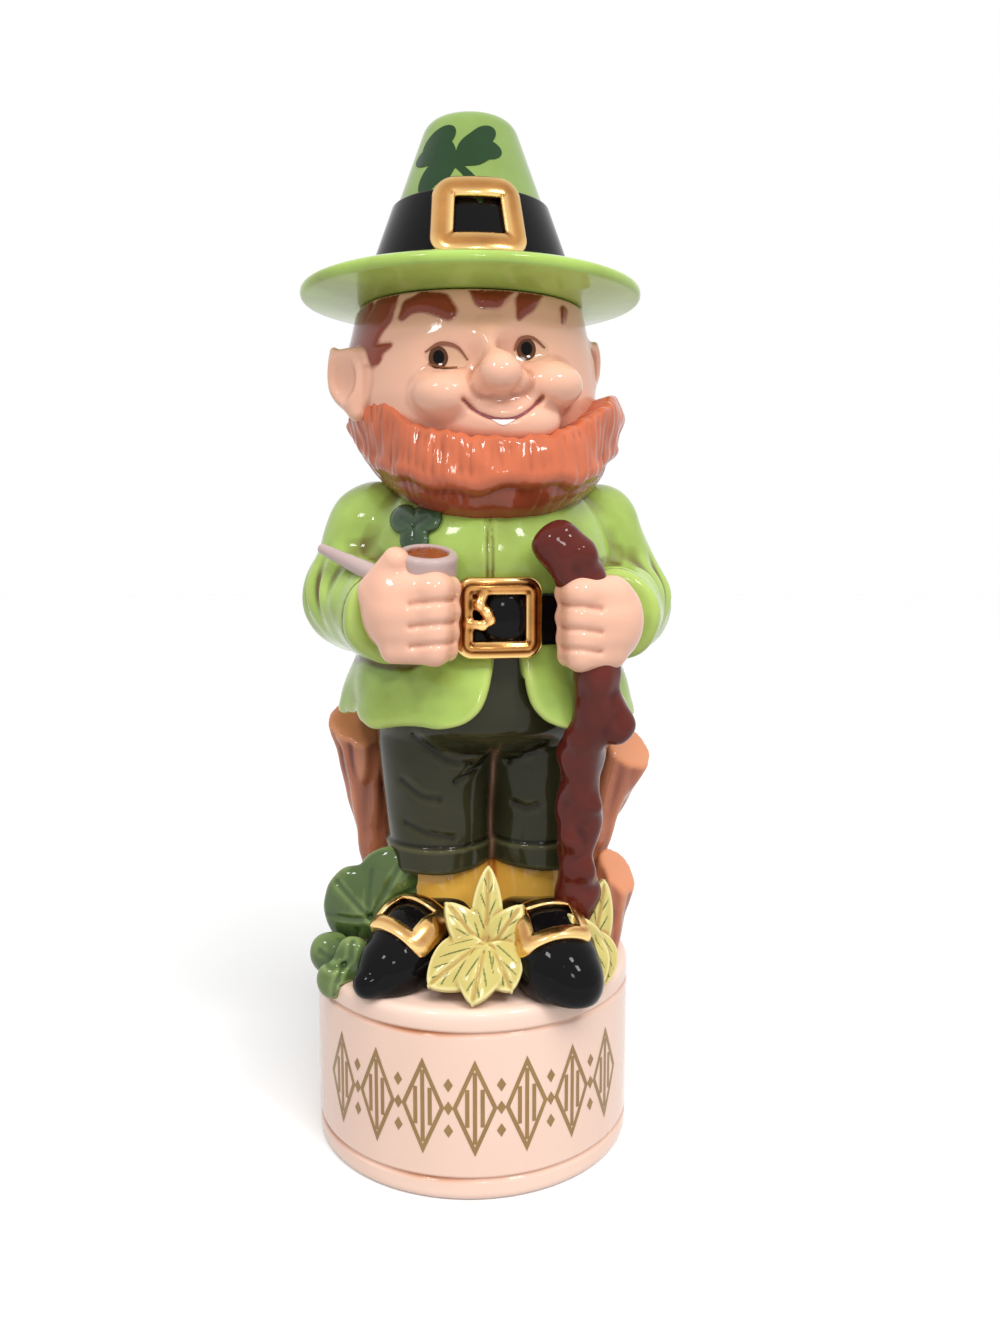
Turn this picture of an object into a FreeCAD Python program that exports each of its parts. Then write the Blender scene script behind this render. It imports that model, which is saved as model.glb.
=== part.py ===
import FreeCAD, Part

import math
import os

# Figural liquor decanter: a bearded figure in a tall hat, standing on a drum.
# The glazed vessel is cast in hollow sections that are luted one on the other (drum, stockings,
# trousers, jacket, head), with the solid trim luted on. The hat and its cork are the stopper.
# Millimetres and degrees. +Z is up, the front faces -Y, and the origin is the centre of the drum's foot.

# Drum
DRUM_RADIUS = 48.0
DRUM_HEIGHT = 55.0
DRUM_EDGE = 3.5
DRUM_WALL = 6.0
DRUM_FLOOR = 6.0
GROOVE_RADIUS = 1.0
GROOVE_INSET = 6.5

# Figure, measured up from the drum's top
FIGURE_SHIFT_X = 4.5
FIGURE_SHIFT_Y = 2.0
FIGURE_TURN = 9.0
ANKLE_HEIGHT = 31.0
LEG_SHOWN = 44.0
SKIRT_LENGTH = 22.0
CHEST_HEIGHT = 48.0
HEAD_HEIGHT = 47.0
SEAM = 0.15

# Liquid channel through the stockings and trousers, and the walls above it
CHANNEL_HALF_WIDTH = 19.0
CHANNEL_HALF_DEPTH = 9.0
VESSEL_WALL = 6.0
NECK_BORE = 14.0

# Stockings and trousers
STOCKING_HALF_WIDTH = 25.0
STOCKING_HALF_DEPTH = 15.0
LEG_SPREAD = 15.5
LEG_RADIUS = 17.8
CUFF_RADIUS = 15.6
LEG_FORWARD = 3.0
HIP_RADIUS = 32.0
CROTCH_DROP = 7.0
GUSSET_HALF_DEPTH = 13.5

# Jacket
HEM_RADIUS = 44.5
WAIST_RADIUS = 37.5
CHEST_RADIUS = 38.5
NECK_RADIUS = 24.0
FRONT_SPLIT_TOP = 6.0
FRONT_SPLIT_HEM = 25.0

# Belt and its buckle
BELT_WIDTH = 14.0
BELT_THICKNESS = 1.4
BELT_RISE = 1.0
BUCKLE_WIDTH = 21.0
BUCKLE_HEIGHT = 19.5
BUCKLE_BAR = 4.4
BUCKLE_DEPTH = 3.2
PRONG_RADIUS = 1.8

# Arms and hands
SHOULDER_RADIUS = 15.0
SHOULDER_OUT = 33.0
SHOULDER_DROP = 18.0
ELBOW_RADIUS = 15.0
ELBOW_OUT = 40.0
WRIST_RADIUS = 12.0
WRIST_OUT = 31.0
ELBOW_LEAD = 1.0
FOREARM_REACH = 33.0
FOREARM_RISE = 8.0
HAND_RADIUS = 11.5
HAND_HEIGHT = 28.0
HAND_OUT = 25.5
HAND_LEAD = 9.0
HAND_RISE = 2.0

# Head, face and beard
HEAD_RADIUS = 36.5
HEAD_SEAT_RADIUS = 32.5
HEAD_THROAT_RADIUS = 22.0
NOSE_RADIUS = 6.5
NOSE_RISE = 23.0
CHEEK_RADIUS = 9.0
CHEEK_SPREAD = 14.5
CHEEK_RISE = 19.0
EAR_RADIUS = 6.0
EAR_LENGTH = 22.0
EAR_RISE = 26.5
EAR_TURN = 18.0
BEARD_RADIUS = 39.5
BEARD_HALF_HEIGHT = 27.0
BEARD_RISE = 13.0
BEARD_SHIFT_X = 3.0
BEARD_LEAD = 4.0
BEARD_FULLNESS = 0.6
BEARD_TOP_FRONT = 7.0
BEARD_TOP_SLOPE = 22.0
BEARD_BACK = 9.0

# Pouring mouth and stopper
MOUTH_BORE = 9.5
MOUTH_RING_WALL = 4.5
MOUTH_FLANGE = 4.0
MOUTH_FLANGE_THICKNESS = 3.0
MOUTH_DEPTH = 26.0
CORK_CLEARANCE = 0.08
CORK_TAPER = 0.7
CORK_LENGTH_IN_MOUTH = 15.0
CORK_LENGTH_IN_HAT = 15.0
SEAT_CLEARANCE = 0.3

# Hat
HAT_HEIGHT = 53.0
BRIM_RADIUS = 49.3
BRIM_EDGE = 4.2
BRIM_LIFT = 1.5
BRIM_THICKNESS = 9.5
CROWN_BASE_RADIUS = 28.2
CROWN_TOP_RADIUS = 12.8
CROWN_TOP_ROUND = 6.0
CROWN_WALL = 4.0
SOCKET_WALL = 4.0
BAND_HEIGHT = 19.0
BAND_THICKNESS = 1.3
HAT_BUCKLE_WIDTH = 24.5
HAT_BUCKLE_HEIGHT = 21.5
HAT_BUCKLE_BAR = 6.0
HAT_BUCKLE_DEPTH = 3.0
HAT_BUCKLE_WRAP = 6.0
HAT_BUCKLE_RISE = 1.0

# Shoes
SHOE_ANKLE_RADIUS = 12.3
SHOE_LENGTH = 26.0
SHOE_COLLAR = 2.0
SHOE_BUCKLE_WIDTH = 15.0
SHOE_BUCKLE_LENGTH = 12.5
SHOE_BUCKLE_BAR = 2.6
SHOE_BUCKLE_DEPTH = 2.6
RIGHT_SHOE_HEEL = (-16.8, -13.5)
RIGHT_SHOE_TURN = 44.0
RIGHT_SHOE_TOE_RADIUS = 6.0
LEFT_SHOE_HEEL = (12.5, -18.0)
LEFT_SHOE_TURN = -13.5
LEFT_SHOE_TOE_RADIUS = 8.4

# Pipe and walking stick. The stick's bends are steps from the left hand's centre line, and its heights are
# above the hand's top, below its underside, or above and below the hem.
PIPE_BOWL_RADIUS = 8.0
PIPE_BOWL_HEIGHT = 17.0
PIPE_BOWL_BORE = 4.5
PIPE_BOWL_BORE_DEPTH = 2.5
PIPE_BOWL_SINK = 9.0
PIPE_STEM_RADIUS = 2.8
PIPE_STEM_LENGTH = 29.0
STICK_RADIUS = 5.4
STICK_KNOB_RADIUS = 7.2
STICK_KNOB_STEP = (-11.5, -3.0)
STICK_KNOB_ABOVE_HAND = 6.0
STICK_GRIP_STEP = (-7.0, -4.0)
STICK_GRIP_BELOW_HAND_TOP = 2.0
STICK_WAIST_STEP = (-1.0, -2.0)
STICK_WAIST_BELOW_HAND = 3.0
STICK_HEM_STEP = (-1.5, 3.0)
STICK_HEM_RISE = 3.0
STICK_THIGH_IN = 4.5
STICK_THIGH_LEAD = 7.5
STICK_THIGH_DROP = 12.0
STICK_SHIN_IN = 3.0
STICK_SHIN_LEAD = 1.0
STICK_FOOT_IN = 1.5

# Tree, leaves and the shamrock on the breast. Logs run from a root by a knee to an end, each set out from the
# hips, and each end is sawn square to a direction.
TRUNK_RADIUS = 17.0
TRUNK_TOP_RADIUS = 14.0
TRUNK_BACK = 24.0
LOG_RADIUS = 8.3
RIGHT_LOG_FOOT_RADIUS = 5.0
RIGHT_LOG_ROOT_OUT = 1.0
RIGHT_LOG_KNEE_OUT = 1.7
RIGHT_LOG_END_OUT = 7.6
RIGHT_LOG_BACK = 16.5
RIGHT_LOG_BELOW_HEM = 5.0
RIGHT_LOG_SAWN = (0.1, -0.6, 0.75)
LEFT_LOG_FOOT_RADIUS = 6.3
LEFT_LOG_ROOT_IN = 3.0
LEFT_LOG_KNEE_OUT = 1.4
LEFT_LOG_KNEE_ABOVE_CUFF = 5.0
LEFT_LOG_END_OUT = 12.3
LEFT_LOG_BACK = 1.2
LEFT_LOG_END_LEAD = 2.5
LEFT_LOG_BELOW_HEM = 12.0
LEFT_LOG_SAWN = (0.5, -0.5, 0.7)
STUB_RADIUS = 6.6
STUB_FOOT_RADIUS = 6.1
STUB_ROOT_OUT = 0.8
STUB_ROOT_LEAD = 10.2
STUB_END_OUT = 7.2
STUB_END_LEAD = 11.3
STUB_BELOW_CUFF = 5.0
STUB_SAWN = (0.6, -0.45, 0.65)
LEAF_WIDTH = 13.5
LEAF_THICKNESS = 4.5
FRONT_SPRAY_MIDDLE = (-5.0, -17.0, 9.0)
FRONT_SPRAY_TOP_TIP = (-4.5, -7.0)
FRONT_SPRAY_UPPER_TIPS = ((-15.5, -13.0), (4.5, -15.0))
FRONT_SPRAY_LOWER_TIPS = ((-16.5, -26.0, 3.0), (1.5, -28.5, 2.5))
FRONT_SPRAY_RIM_TIP = (-7.5, -30.0, 2.0)
SIDE_SPRAY_MIDDLE = (15.5, -10.0, 5.0)
SIDE_SPRAY_TOP_TIP = (5.0, 3.0, 19.0)
SIDE_SPRAY_INNER_TIP = (1.0, -6.0, 13.0)
SIDE_SPRAY_RIM_TIP = (2.5, -11.0, -2.0)
CLOVER_RADIUS = 10.0
CLOVER_THICKNESS = 8.0
CLOVER_CENTRES = ((-28.0, -5.0, 22.0), (-40.0, -6.0, 17.0), (-38.0, -13.0, 6.0), (-46.0, -13.0, 5.0))
CLOVER_SHARES = (1.1, 1.15, 1.0, 0.7)
LAPEL_TURN = 35.0
LAPEL_LEAF_RADIUS = 4.2
LAPEL_LEAF_THICKNESS = 3.0

# Levels in the figure's frame, from the drum's top upwards
cuff = ANKLE_HEIGHT
hem = cuff + LEG_SHOWN
waist = hem + SKIRT_LENGTH
neck = waist + CHEST_HEIGHT
belt_low = waist + BELT_RISE
belt_middle = belt_low + BELT_WIDTH / 2
seat = DRUM_HEIGHT + neck + HEAD_HEIGHT
hat_under = seat + SEAT_CLEARANCE
brim_top = hat_under + BRIM_THICKNESS
hat_top = seat + HAT_HEIGHT
LARGE = 400.0
SIDES = {"right": -1, "left": 1}
SHOES = {
    "right": (RIGHT_SHOE_HEEL, RIGHT_SHOE_TURN, RIGHT_SHOE_TOE_RADIUS),
    "left": (LEFT_SHOE_HEEL, LEFT_SHOE_TURN, LEFT_SHOE_TOE_RADIUS),
}


def vec(x, y, z):
    return FreeCAD.Vector(x, y, z)


def place(shape):
    """Takes a shape from the figure's frame to the part's frame."""
    moved = shape.copy()
    moved.rotate(vec(0, 0, 0), vec(0, 0, 1), FIGURE_TURN)
    moved.translate(vec(FIGURE_SHIFT_X, FIGURE_SHIFT_Y, DRUM_HEIGHT))
    return moved


def turned_on_axis(shape, height=0.0):
    """Takes a shape that faces -Y on the vessel's own axis to the part's frame, turned as the figure is."""
    moved = shape.copy()
    moved.rotate(vec(0, 0, 0), vec(0, 0, 1), FIGURE_TURN)
    moved.translate(vec(0, 0, height))
    return moved


def fused(shapes):
    whole = shapes[0]
    for shape in shapes[1:]:
        whole = whole.fuse(shape)
    return whole.removeSplitter()


def cut_by(shape, tools):
    for tool in tools:
        shape = shape.cut(tool)
    return shape


def largest_solid(shape):
    """The one solid that is left once a piece has been trimmed by its neighbours."""
    return max(shape.Solids, key=lambda solid: solid.Volume)


def polygon_ring(points):
    """A solid of revolution about Z from a closed outline of (radius, height) corners."""
    corners = [vec(r, 0, z) for r, z in points]
    face = Part.Face(Part.makePolygon(corners + corners[:1]))
    return face.revolve(vec(0, 0, 0), vec(0, 0, 1), 360)


def turned_solid(side):
    """A solid of revolution about Z whose side is a smooth curve through (radius, height) points."""
    curve = Part.BSplineCurve()
    curve.interpolate([vec(r, 0, z) for r, z in side])
    low, high = side[0], side[-1]
    outline = [
        curve.toShape(),
        Part.makeLine(vec(high[0], 0, high[1]), vec(0, 0, high[1])),
        Part.makeLine(vec(0, 0, high[1]), vec(0, 0, low[1])),
        Part.makeLine(vec(0, 0, low[1]), vec(low[0], 0, low[1])),
    ]
    return Part.Face(Part.Wire(outline)).revolve(vec(0, 0, 0), vec(0, 0, 1), 360)


def oblong_prism(half_width, half_depth, low, high):
    """An upright prism whose plan is a slot: two half circles joined by straight sides."""
    centre = half_width - half_depth
    left_front, left_back = vec(centre, -half_depth, low), vec(centre, half_depth, low)
    right_front, right_back = vec(-centre, -half_depth, low), vec(-centre, half_depth, low)
    outline = [
        Part.Arc(left_front, vec(half_width, 0, low), left_back).toShape(),
        Part.makeLine(left_back, right_back),
        Part.Arc(right_back, vec(-half_width, 0, low), right_front).toShape(),
        Part.makeLine(right_front, left_front),
    ]
    return Part.Face(Part.Wire(outline)).extrude(vec(0, 0, high - low))


def round_cone(start, start_radius, end, end_radius):
    """Two balls and the cone that is tangent to both, as one solid."""
    length = (end - start).Length
    slope = math.asin((start_radius - end_radius) / length)
    low = vec(start_radius * math.cos(slope), 0, start_radius * math.sin(slope))
    high = vec(end_radius * math.cos(slope), 0, length + end_radius * math.sin(slope))
    half_low = (slope - math.pi / 2) / 2
    half_high = (slope + math.pi / 2) / 2
    on_low = vec(start_radius * math.cos(half_low), 0, start_radius * math.sin(half_low))
    on_high = vec(end_radius * math.cos(half_high), 0, length + end_radius * math.sin(half_high))
    foot = vec(0, 0, -start_radius)
    tip = vec(0, 0, length + end_radius)
    outline = [
        Part.Arc(foot, on_low, low).toShape(),
        Part.makeLine(low, high),
        Part.Arc(high, on_high, tip).toShape(),
        Part.makeLine(tip, foot),
    ]
    solid = Part.Face(Part.Wire(outline)).revolve(vec(0, 0, 0), vec(0, 0, 1), 360)
    solid.rotate(vec(0, 0, 0), *turn_from_z(end - start))
    solid.translate(start)
    return solid


def run_of_lengths(points, grow=0.0):
    """Round lengths end to end through (point, radius) pairs. Each ends slimmer than the next starts."""
    lengths = []
    for (start, start_radius), (end, end_radius) in zip(points, points[1:]):
        lengths.append(round_cone(start, start_radius + grow, end, end_radius + grow - SEAM / 2))
    return fused(lengths)


def turn_from_z(direction):
    """(axis, degrees) of the turn that takes +Z to a direction."""
    rotation = FreeCAD.Rotation(vec(0, 0, 1), direction)
    return rotation.Axis, math.degrees(rotation.Angle)


def half_space_below(height):
    return Part.makeBox(LARGE, LARGE, LARGE, vec(-LARGE / 2, -LARGE / 2, height - LARGE))


def rounded_frame(width, height, bar, depth):
    """A buckle: a plate with rounded edges and a square window, facing -Y, its back on the plane Y = 0."""
    plate = Part.makeBox(width, depth, height, vec(-width / 2, -depth, -height / 2))
    front_edges = [e for e in plate.Edges if abs(e.CenterOfMass.y + depth) < depth / 4]
    upright_edges = [e for e in plate.Edges if abs(e.CenterOfMass.y + depth / 2) < depth / 4]
    plate = plate.makeFillet(bar / 3, upright_edges + front_edges)
    window_width = width - 2 * bar
    window_height = height - 2 * bar
    corner = vec(-window_width / 2, -2 * depth, -window_height / 2)
    return plate.cut(Part.makeBox(window_width, 4 * depth, window_height, corner))


# Vessel: the hollow castings


def drum():
    body = Part.makeCylinder(DRUM_RADIUS, DRUM_HEIGHT)
    body = body.makeFillet(DRUM_EDGE, [e for e in body.Edges if e.Closed])
    for height in (GROOVE_INSET, DRUM_HEIGHT - GROOVE_INSET):
        body = body.cut(Part.makeTorus(DRUM_RADIUS, GROOVE_RADIUS, vec(0, 0, height)))
    hollow_height = DRUM_HEIGHT - DRUM_FLOOR - DRUM_WALL
    hollow = Part.makeCylinder(DRUM_RADIUS - DRUM_WALL, hollow_height, vec(0, 0, DRUM_FLOOR))
    hollow = hollow.makeFillet(DRUM_EDGE, [e for e in hollow.Edges if e.Closed])
    opening = place(channel(-2 * DRUM_WALL, DRUM_WALL))
    return cut_by(body, [hollow, opening])


def channel(low, high):
    return oblong_prism(CHANNEL_HALF_WIDTH, CHANNEL_HALF_DEPTH, low, high)


def stockings_outside(grow=0.0):
    return oblong_prism(STOCKING_HALF_WIDTH + grow, STOCKING_HALF_DEPTH + grow, 0, cuff)


def stockings():
    return stockings_outside().cut(channel(-1, cuff + 1))


def trousers_outside(grow=0.0):
    pieces = []
    crotch = hem - CROTCH_DROP
    gusset_depth = 2 * (GUSSET_HALF_DEPTH + grow)
    gusset_corner = vec(-LEG_SPREAD, -GUSSET_HALF_DEPTH - grow, cuff)
    pieces.append(Part.makeBox(2 * LEG_SPREAD, gusset_depth, hem - cuff, gusset_corner))
    for side in SIDES.values():
        foot = vec(side * LEG_SPREAD, -LEG_FORWARD, cuff)
        pieces.append(Part.makeCone(CUFF_RADIUS + grow, LEG_RADIUS + grow, hem - cuff, foot))
    hips = polygon_ring(
        [
            (0, crotch),
            (LEG_SPREAD + grow, crotch),
            (HIP_RADIUS + grow, hem),
            (HIP_RADIUS + grow, waist),
            (0, waist),
        ]
    )
    pieces.append(hips)
    return fused(pieces)


def trousers():
    return trousers_outside().cut(channel(cuff - 1, waist + 1))


def jacket_side(grow=0.0):
    return [
        (HEM_RADIUS + grow, hem),
        (HEM_RADIUS * 0.62 + WAIST_RADIUS * 0.38 + grow, hem + SKIRT_LENGTH * 0.5),
        (WAIST_RADIUS + grow, belt_middle),
        (CHEST_RADIUS + grow, waist + CHEST_HEIGHT * 0.55),
        (CHEST_RADIUS * 0.4 + NECK_RADIUS * 0.6 + grow, waist + CHEST_HEIGHT * 0.85),
        (NECK_RADIUS + grow, neck),
    ]


def jacket_outside(grow=0.0):
    return turned_solid(jacket_side(grow))


def chest_hollow():
    hollow_side = [
        (WAIST_RADIUS - VESSEL_WALL, waist),
        (CHEST_RADIUS - VESSEL_WALL, waist + CHEST_HEIGHT * 0.45),
        ((CHEST_RADIUS - VESSEL_WALL + NECK_BORE) / 2, waist + CHEST_HEIGHT * 0.8),
        (NECK_BORE, neck),
    ]
    return turned_solid(hollow_side)


def jacket():
    split_corners = [
        vec(-FRONT_SPLIT_HEM / 2, 0, hem - 1),
        vec(FRONT_SPLIT_HEM / 2, 0, hem - 1),
        vec(FRONT_SPLIT_TOP / 2, 0, belt_low + 1),
        vec(-FRONT_SPLIT_TOP / 2, 0, belt_low + 1),
    ]
    split = Part.Face(Part.makePolygon(split_corners + split_corners[:1])).extrude(vec(0, -LARGE, 0))
    return cut_by(jacket_outside(), [trousers_outside(SEAM), chest_hollow(), split])


def head_side(grow=0.0):
    return [
        (HEAD_THROAT_RADIUS + grow, 0.0),
        (HEAD_RADIUS * 0.89 + grow, HEAD_HEIGHT * 0.2),
        (HEAD_RADIUS + grow, HEAD_HEIGHT * 0.52),
        (HEAD_RADIUS * 0.35 + HEAD_SEAT_RADIUS * 0.65 + grow, HEAD_HEIGHT * 0.85),
        (HEAD_SEAT_RADIUS + grow, HEAD_HEIGHT),
    ]


def head_outside(grow=0.0):
    """The head with its nose, cheeks and ears, on the vessel's axis, its throat on the plane Z = 0."""
    nose = Part.makeSphere(NOSE_RADIUS + grow, vec(0, -HEAD_RADIUS - NOSE_RADIUS * 0.3, NOSE_RISE))
    pieces = [turned_solid(head_side(grow)), nose]
    for side in SIDES.values():
        cheek_front = -math.sqrt(HEAD_RADIUS**2 - CHEEK_SPREAD**2) + CHEEK_RADIUS * 0.6
        pieces.append(Part.makeSphere(CHEEK_RADIUS + grow, vec(side * CHEEK_SPREAD, cheek_front, CHEEK_RISE)))
        ear_reach = HEAD_RADIUS + EAR_RADIUS * 0.15
        ear_out = side * ear_reach * math.cos(math.radians(EAR_TURN))
        ear_front = -ear_reach * math.sin(math.radians(EAR_TURN))
        half_ear = EAR_LENGTH / 2 - EAR_RADIUS
        lobe = vec(ear_out, ear_front, EAR_RISE - half_ear)
        ear_top = vec(ear_out, ear_front, EAR_RISE + half_ear)
        pieces.append(round_cone(lobe, EAR_RADIUS * 0.8 + grow, ear_top, EAR_RADIUS + grow))
    return fused(pieces)


def head_on_neck(shape):
    return turned_on_axis(shape, DRUM_HEIGHT + neck)


def head():
    inside_radius = HEAD_RADIUS - VESSEL_WALL
    ring_radius = MOUTH_BORE + MOUTH_RING_WALL + SEAM
    hollow_top = HEAD_HEIGHT - VESSEL_WALL
    hollow_side = [
        (NECK_BORE, 0.0),
        (inside_radius * 0.86, HEAD_HEIGHT * 0.22),
        (inside_radius, HEAD_HEIGHT * 0.5),
        ((inside_radius + ring_radius) / 2, HEAD_HEIGHT * 0.78),
        (ring_radius, hollow_top),
    ]
    throat = Part.makeCylinder(NECK_BORE, 2, vec(0, 0, -1))
    mouth = Part.makeCylinder(ring_radius, 2 * VESSEL_WALL, vec(0, 0, hollow_top - 1))
    flange_floor = HEAD_HEIGHT - MOUTH_FLANGE_THICKNESS
    counterbore = Part.makeCylinder(ring_radius + MOUTH_FLANGE, VESSEL_WALL, vec(0, 0, flange_floor))
    return cut_by(head_outside(), [turned_solid(hollow_side), throat, mouth, counterbore])


def mouth_ring():
    """The cork's seat: a flanged ring in the head's top, around the vessel's axis."""
    ring_radius = MOUTH_BORE + MOUTH_RING_WALL
    flange_radius = ring_radius + MOUTH_FLANGE
    return polygon_ring(
        [
            (MOUTH_BORE, seat - MOUTH_DEPTH),
            (ring_radius, seat - MOUTH_DEPTH),
            (ring_radius, seat - MOUTH_FLANGE_THICKNESS),
            (flange_radius, seat - MOUTH_FLANGE_THICKNESS),
            (flange_radius, seat),
            (MOUTH_BORE, seat),
        ]
    )


# Trim on the head and jacket


def beard_bowl(grow=0.0):
    """The bowl of hair round the jaw, before it is cut to the face."""
    radius = BEARD_RADIUS + grow
    half_height = BEARD_HALF_HEIGHT + grow
    side = [(0, -half_height)]
    for degrees in range(-75, 80, 15):
        angle = math.radians(degrees)
        side.append((radius * math.cos(angle) ** BEARD_FULLNESS, half_height * math.sin(angle)))
    side.append((0, half_height))
    bowl = polygon_ring(side)
    bowl.translate(vec(BEARD_SHIFT_X, -BEARD_LEAD, BEARD_RISE))
    return bowl


def beard():
    """The bowl, cut off along a slope that climbs from the mouth to the ears, and open at the back."""
    above = Part.makeBox(LARGE, LARGE, LARGE, vec(-LARGE / 2, -LARGE / 2, 0))
    above.rotate(vec(0, 0, 0), vec(1, 0, 0), BEARD_TOP_SLOPE)
    above.translate(vec(0, -BEARD_RADIUS - BEARD_LEAD, BEARD_TOP_FRONT))
    behind = Part.makeBox(LARGE, LARGE, LARGE, vec(-LARGE / 2, BEARD_BACK, -LARGE / 2))
    clothes = [jacket_outside(SEAM)] + [sleeve_outside(side, SEAM) for side in SIDES.values()]
    hair = head_on_neck(cut_by(beard_bowl(), [above, behind]))
    hair = cut_by(hair, [place(piece) for piece in clothes])
    return largest_solid(hair.cut(head_on_neck(head_outside(SEAM))))


def belt_outside(grow=0.0):
    slab = Part.makeBox(LARGE, LARGE, BELT_WIDTH, vec(-LARGE / 2, -LARGE / 2, belt_low))
    return jacket_outside(BELT_THICKNESS + grow).common(slab)


def belt():
    return belt_outside().cut(jacket_outside(SEAM))


def belt_front():
    return WAIST_RADIUS + BELT_THICKNESS


def belt_buckle():
    """The frame is deep enough at its sides to follow the belly round, and is then trimmed to the belt."""
    round_back = BUCKLE_DEPTH + BELT_THICKNESS
    frame = rounded_frame(BUCKLE_WIDTH, BUCKLE_HEIGHT, BUCKLE_BAR, BUCKLE_DEPTH + round_back)
    frame.translate(vec(0, round_back - belt_front(), belt_middle))
    return largest_solid(cut_by(frame, [belt_outside(SEAM), jacket_outside(SEAM)]))


def belt_prong():
    """The buckle's tongue, across the window from the bar on the figure's right."""
    window = BUCKLE_WIDTH / 2 - BUCKLE_BAR
    front = -belt_front() - PRONG_RADIUS * 0.6
    start = vec(-window + PRONG_RADIUS + SEAM, front, belt_middle)
    end = vec(-window / 4, front, belt_middle)
    return round_cone(start, PRONG_RADIUS, end, PRONG_RADIUS * 0.7).cut(belt_outside(SEAM))


def lapel_shamrock():
    """Three round leaves on the right breast, laid square to the jacket there."""
    height = neck - CHEST_HEIGHT * 0.28
    depth = CHEST_RADIUS * 0.5
    back = vec(0, -CHEST_RADIUS - LAPEL_LEAF_THICKNESS + depth, height)
    leaves = []
    for degrees in (30, 150, 270):
        across = LAPEL_LEAF_RADIUS * math.cos(math.radians(degrees))
        up = LAPEL_LEAF_RADIUS * math.sin(math.radians(degrees))
        leaves.append(Part.makeCylinder(LAPEL_LEAF_RADIUS, depth, back + vec(across, 0, up), vec(0, -1, 0)))
    badge = fused(leaves)
    badge.rotate(vec(0, 0, 0), vec(0, 0, 1), -LAPEL_TURN)
    trimmed = place(badge.cut(jacket_outside(SEAM))).cut(head_on_neck(beard_bowl(SEAM)))
    return largest_solid(trimmed)


# Arms, hands and what they hold


def shoulder(side):
    return vec(side * SHOULDER_OUT, 0, neck - SHOULDER_DROP)


def elbow(side):
    return vec(side * ELBOW_OUT, -ELBOW_LEAD, waist + FOREARM_RISE)


def wrist(side):
    return vec(side * WRIST_OUT, -FOREARM_REACH, waist + FOREARM_RISE)


def hand_centre(side):
    return vec(side * HAND_OUT, -FOREARM_REACH - HAND_LEAD, waist + FOREARM_RISE + HAND_RISE)


def sleeve_outside(side, grow=0.0):
    upper = round_cone(shoulder(side), SHOULDER_RADIUS + grow, elbow(side), ELBOW_RADIUS - 0.1 + grow)
    fore = round_cone(elbow(side), ELBOW_RADIUS + grow, wrist(side), WRIST_RADIUS + grow)
    return fused([upper, fore])


def sleeve(side):
    arm = cut_by(sleeve_outside(side), [jacket_outside(SEAM), belt_outside(SEAM)])
    return largest_solid(arm)


def hand_outside(side, grow=0.0):
    half = vec(0, 0, HAND_HEIGHT / 2 - HAND_RADIUS)
    low = hand_centre(side) - half
    return round_cone(low, HAND_RADIUS + grow, low + half * 2, HAND_RADIUS * 0.95 + grow)


def hand(side):
    tools = [sleeve_outside(side, SEAM), jacket_outside(SEAM), belt_outside(SEAM)]
    tools += [stick_outside(SEAM)] if side > 0 else [pipe_bowl_outside(SEAM), pipe_stem_outside(SEAM)]
    return largest_solid(cut_by(hand_outside(side), tools))


def pipe_bowl_base():
    top = hand_centre(SIDES["right"]) + vec(HAND_RADIUS * 0.4, -HAND_RADIUS * 0.25, HAND_HEIGHT / 2)
    return top - vec(0, 0, PIPE_BOWL_SINK)


def pipe_bowl_outside(grow=0.0):
    base = pipe_bowl_base()
    return Part.makeCone(
        PIPE_BOWL_RADIUS * 0.85 + grow, PIPE_BOWL_RADIUS + grow, PIPE_BOWL_HEIGHT - PIPE_BOWL_SINK * 0.4, base
    )


def pipe_bowl():
    height = PIPE_BOWL_HEIGHT - PIPE_BOWL_SINK * 0.4
    bore_floor = pipe_bowl_base() + vec(0, 0, height - PIPE_BOWL_BORE_DEPTH)
    bore = Part.makeCylinder(PIPE_BOWL_BORE, height, bore_floor)
    neighbours = [jacket_outside(SEAM), belt_outside(SEAM), sleeve_outside(SIDES["right"], SEAM)]
    return cut_by(pipe_bowl_outside(), [bore] + neighbours)


def pipe_stem_outside(grow=0.0):
    hand_top = hand_centre(SIDES["right"]) + vec(-HAND_RADIUS * 0.3, HAND_RADIUS * 0.5, HAND_HEIGHT * 0.28)
    along = vec(-0.78, 0.55, 0.28).normalize()
    tip = hand_top + along * PIPE_STEM_LENGTH
    return round_cone(hand_top, PIPE_STEM_RADIUS * 1.15 + grow, tip, PIPE_STEM_RADIUS * 0.75 + grow)


def pipe_stem():
    side = SIDES["right"]
    tools = [sleeve_outside(side, SEAM), jacket_outside(SEAM), pipe_bowl_outside(SEAM)]
    return largest_solid(cut_by(pipe_stem_outside(), tools))


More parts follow.
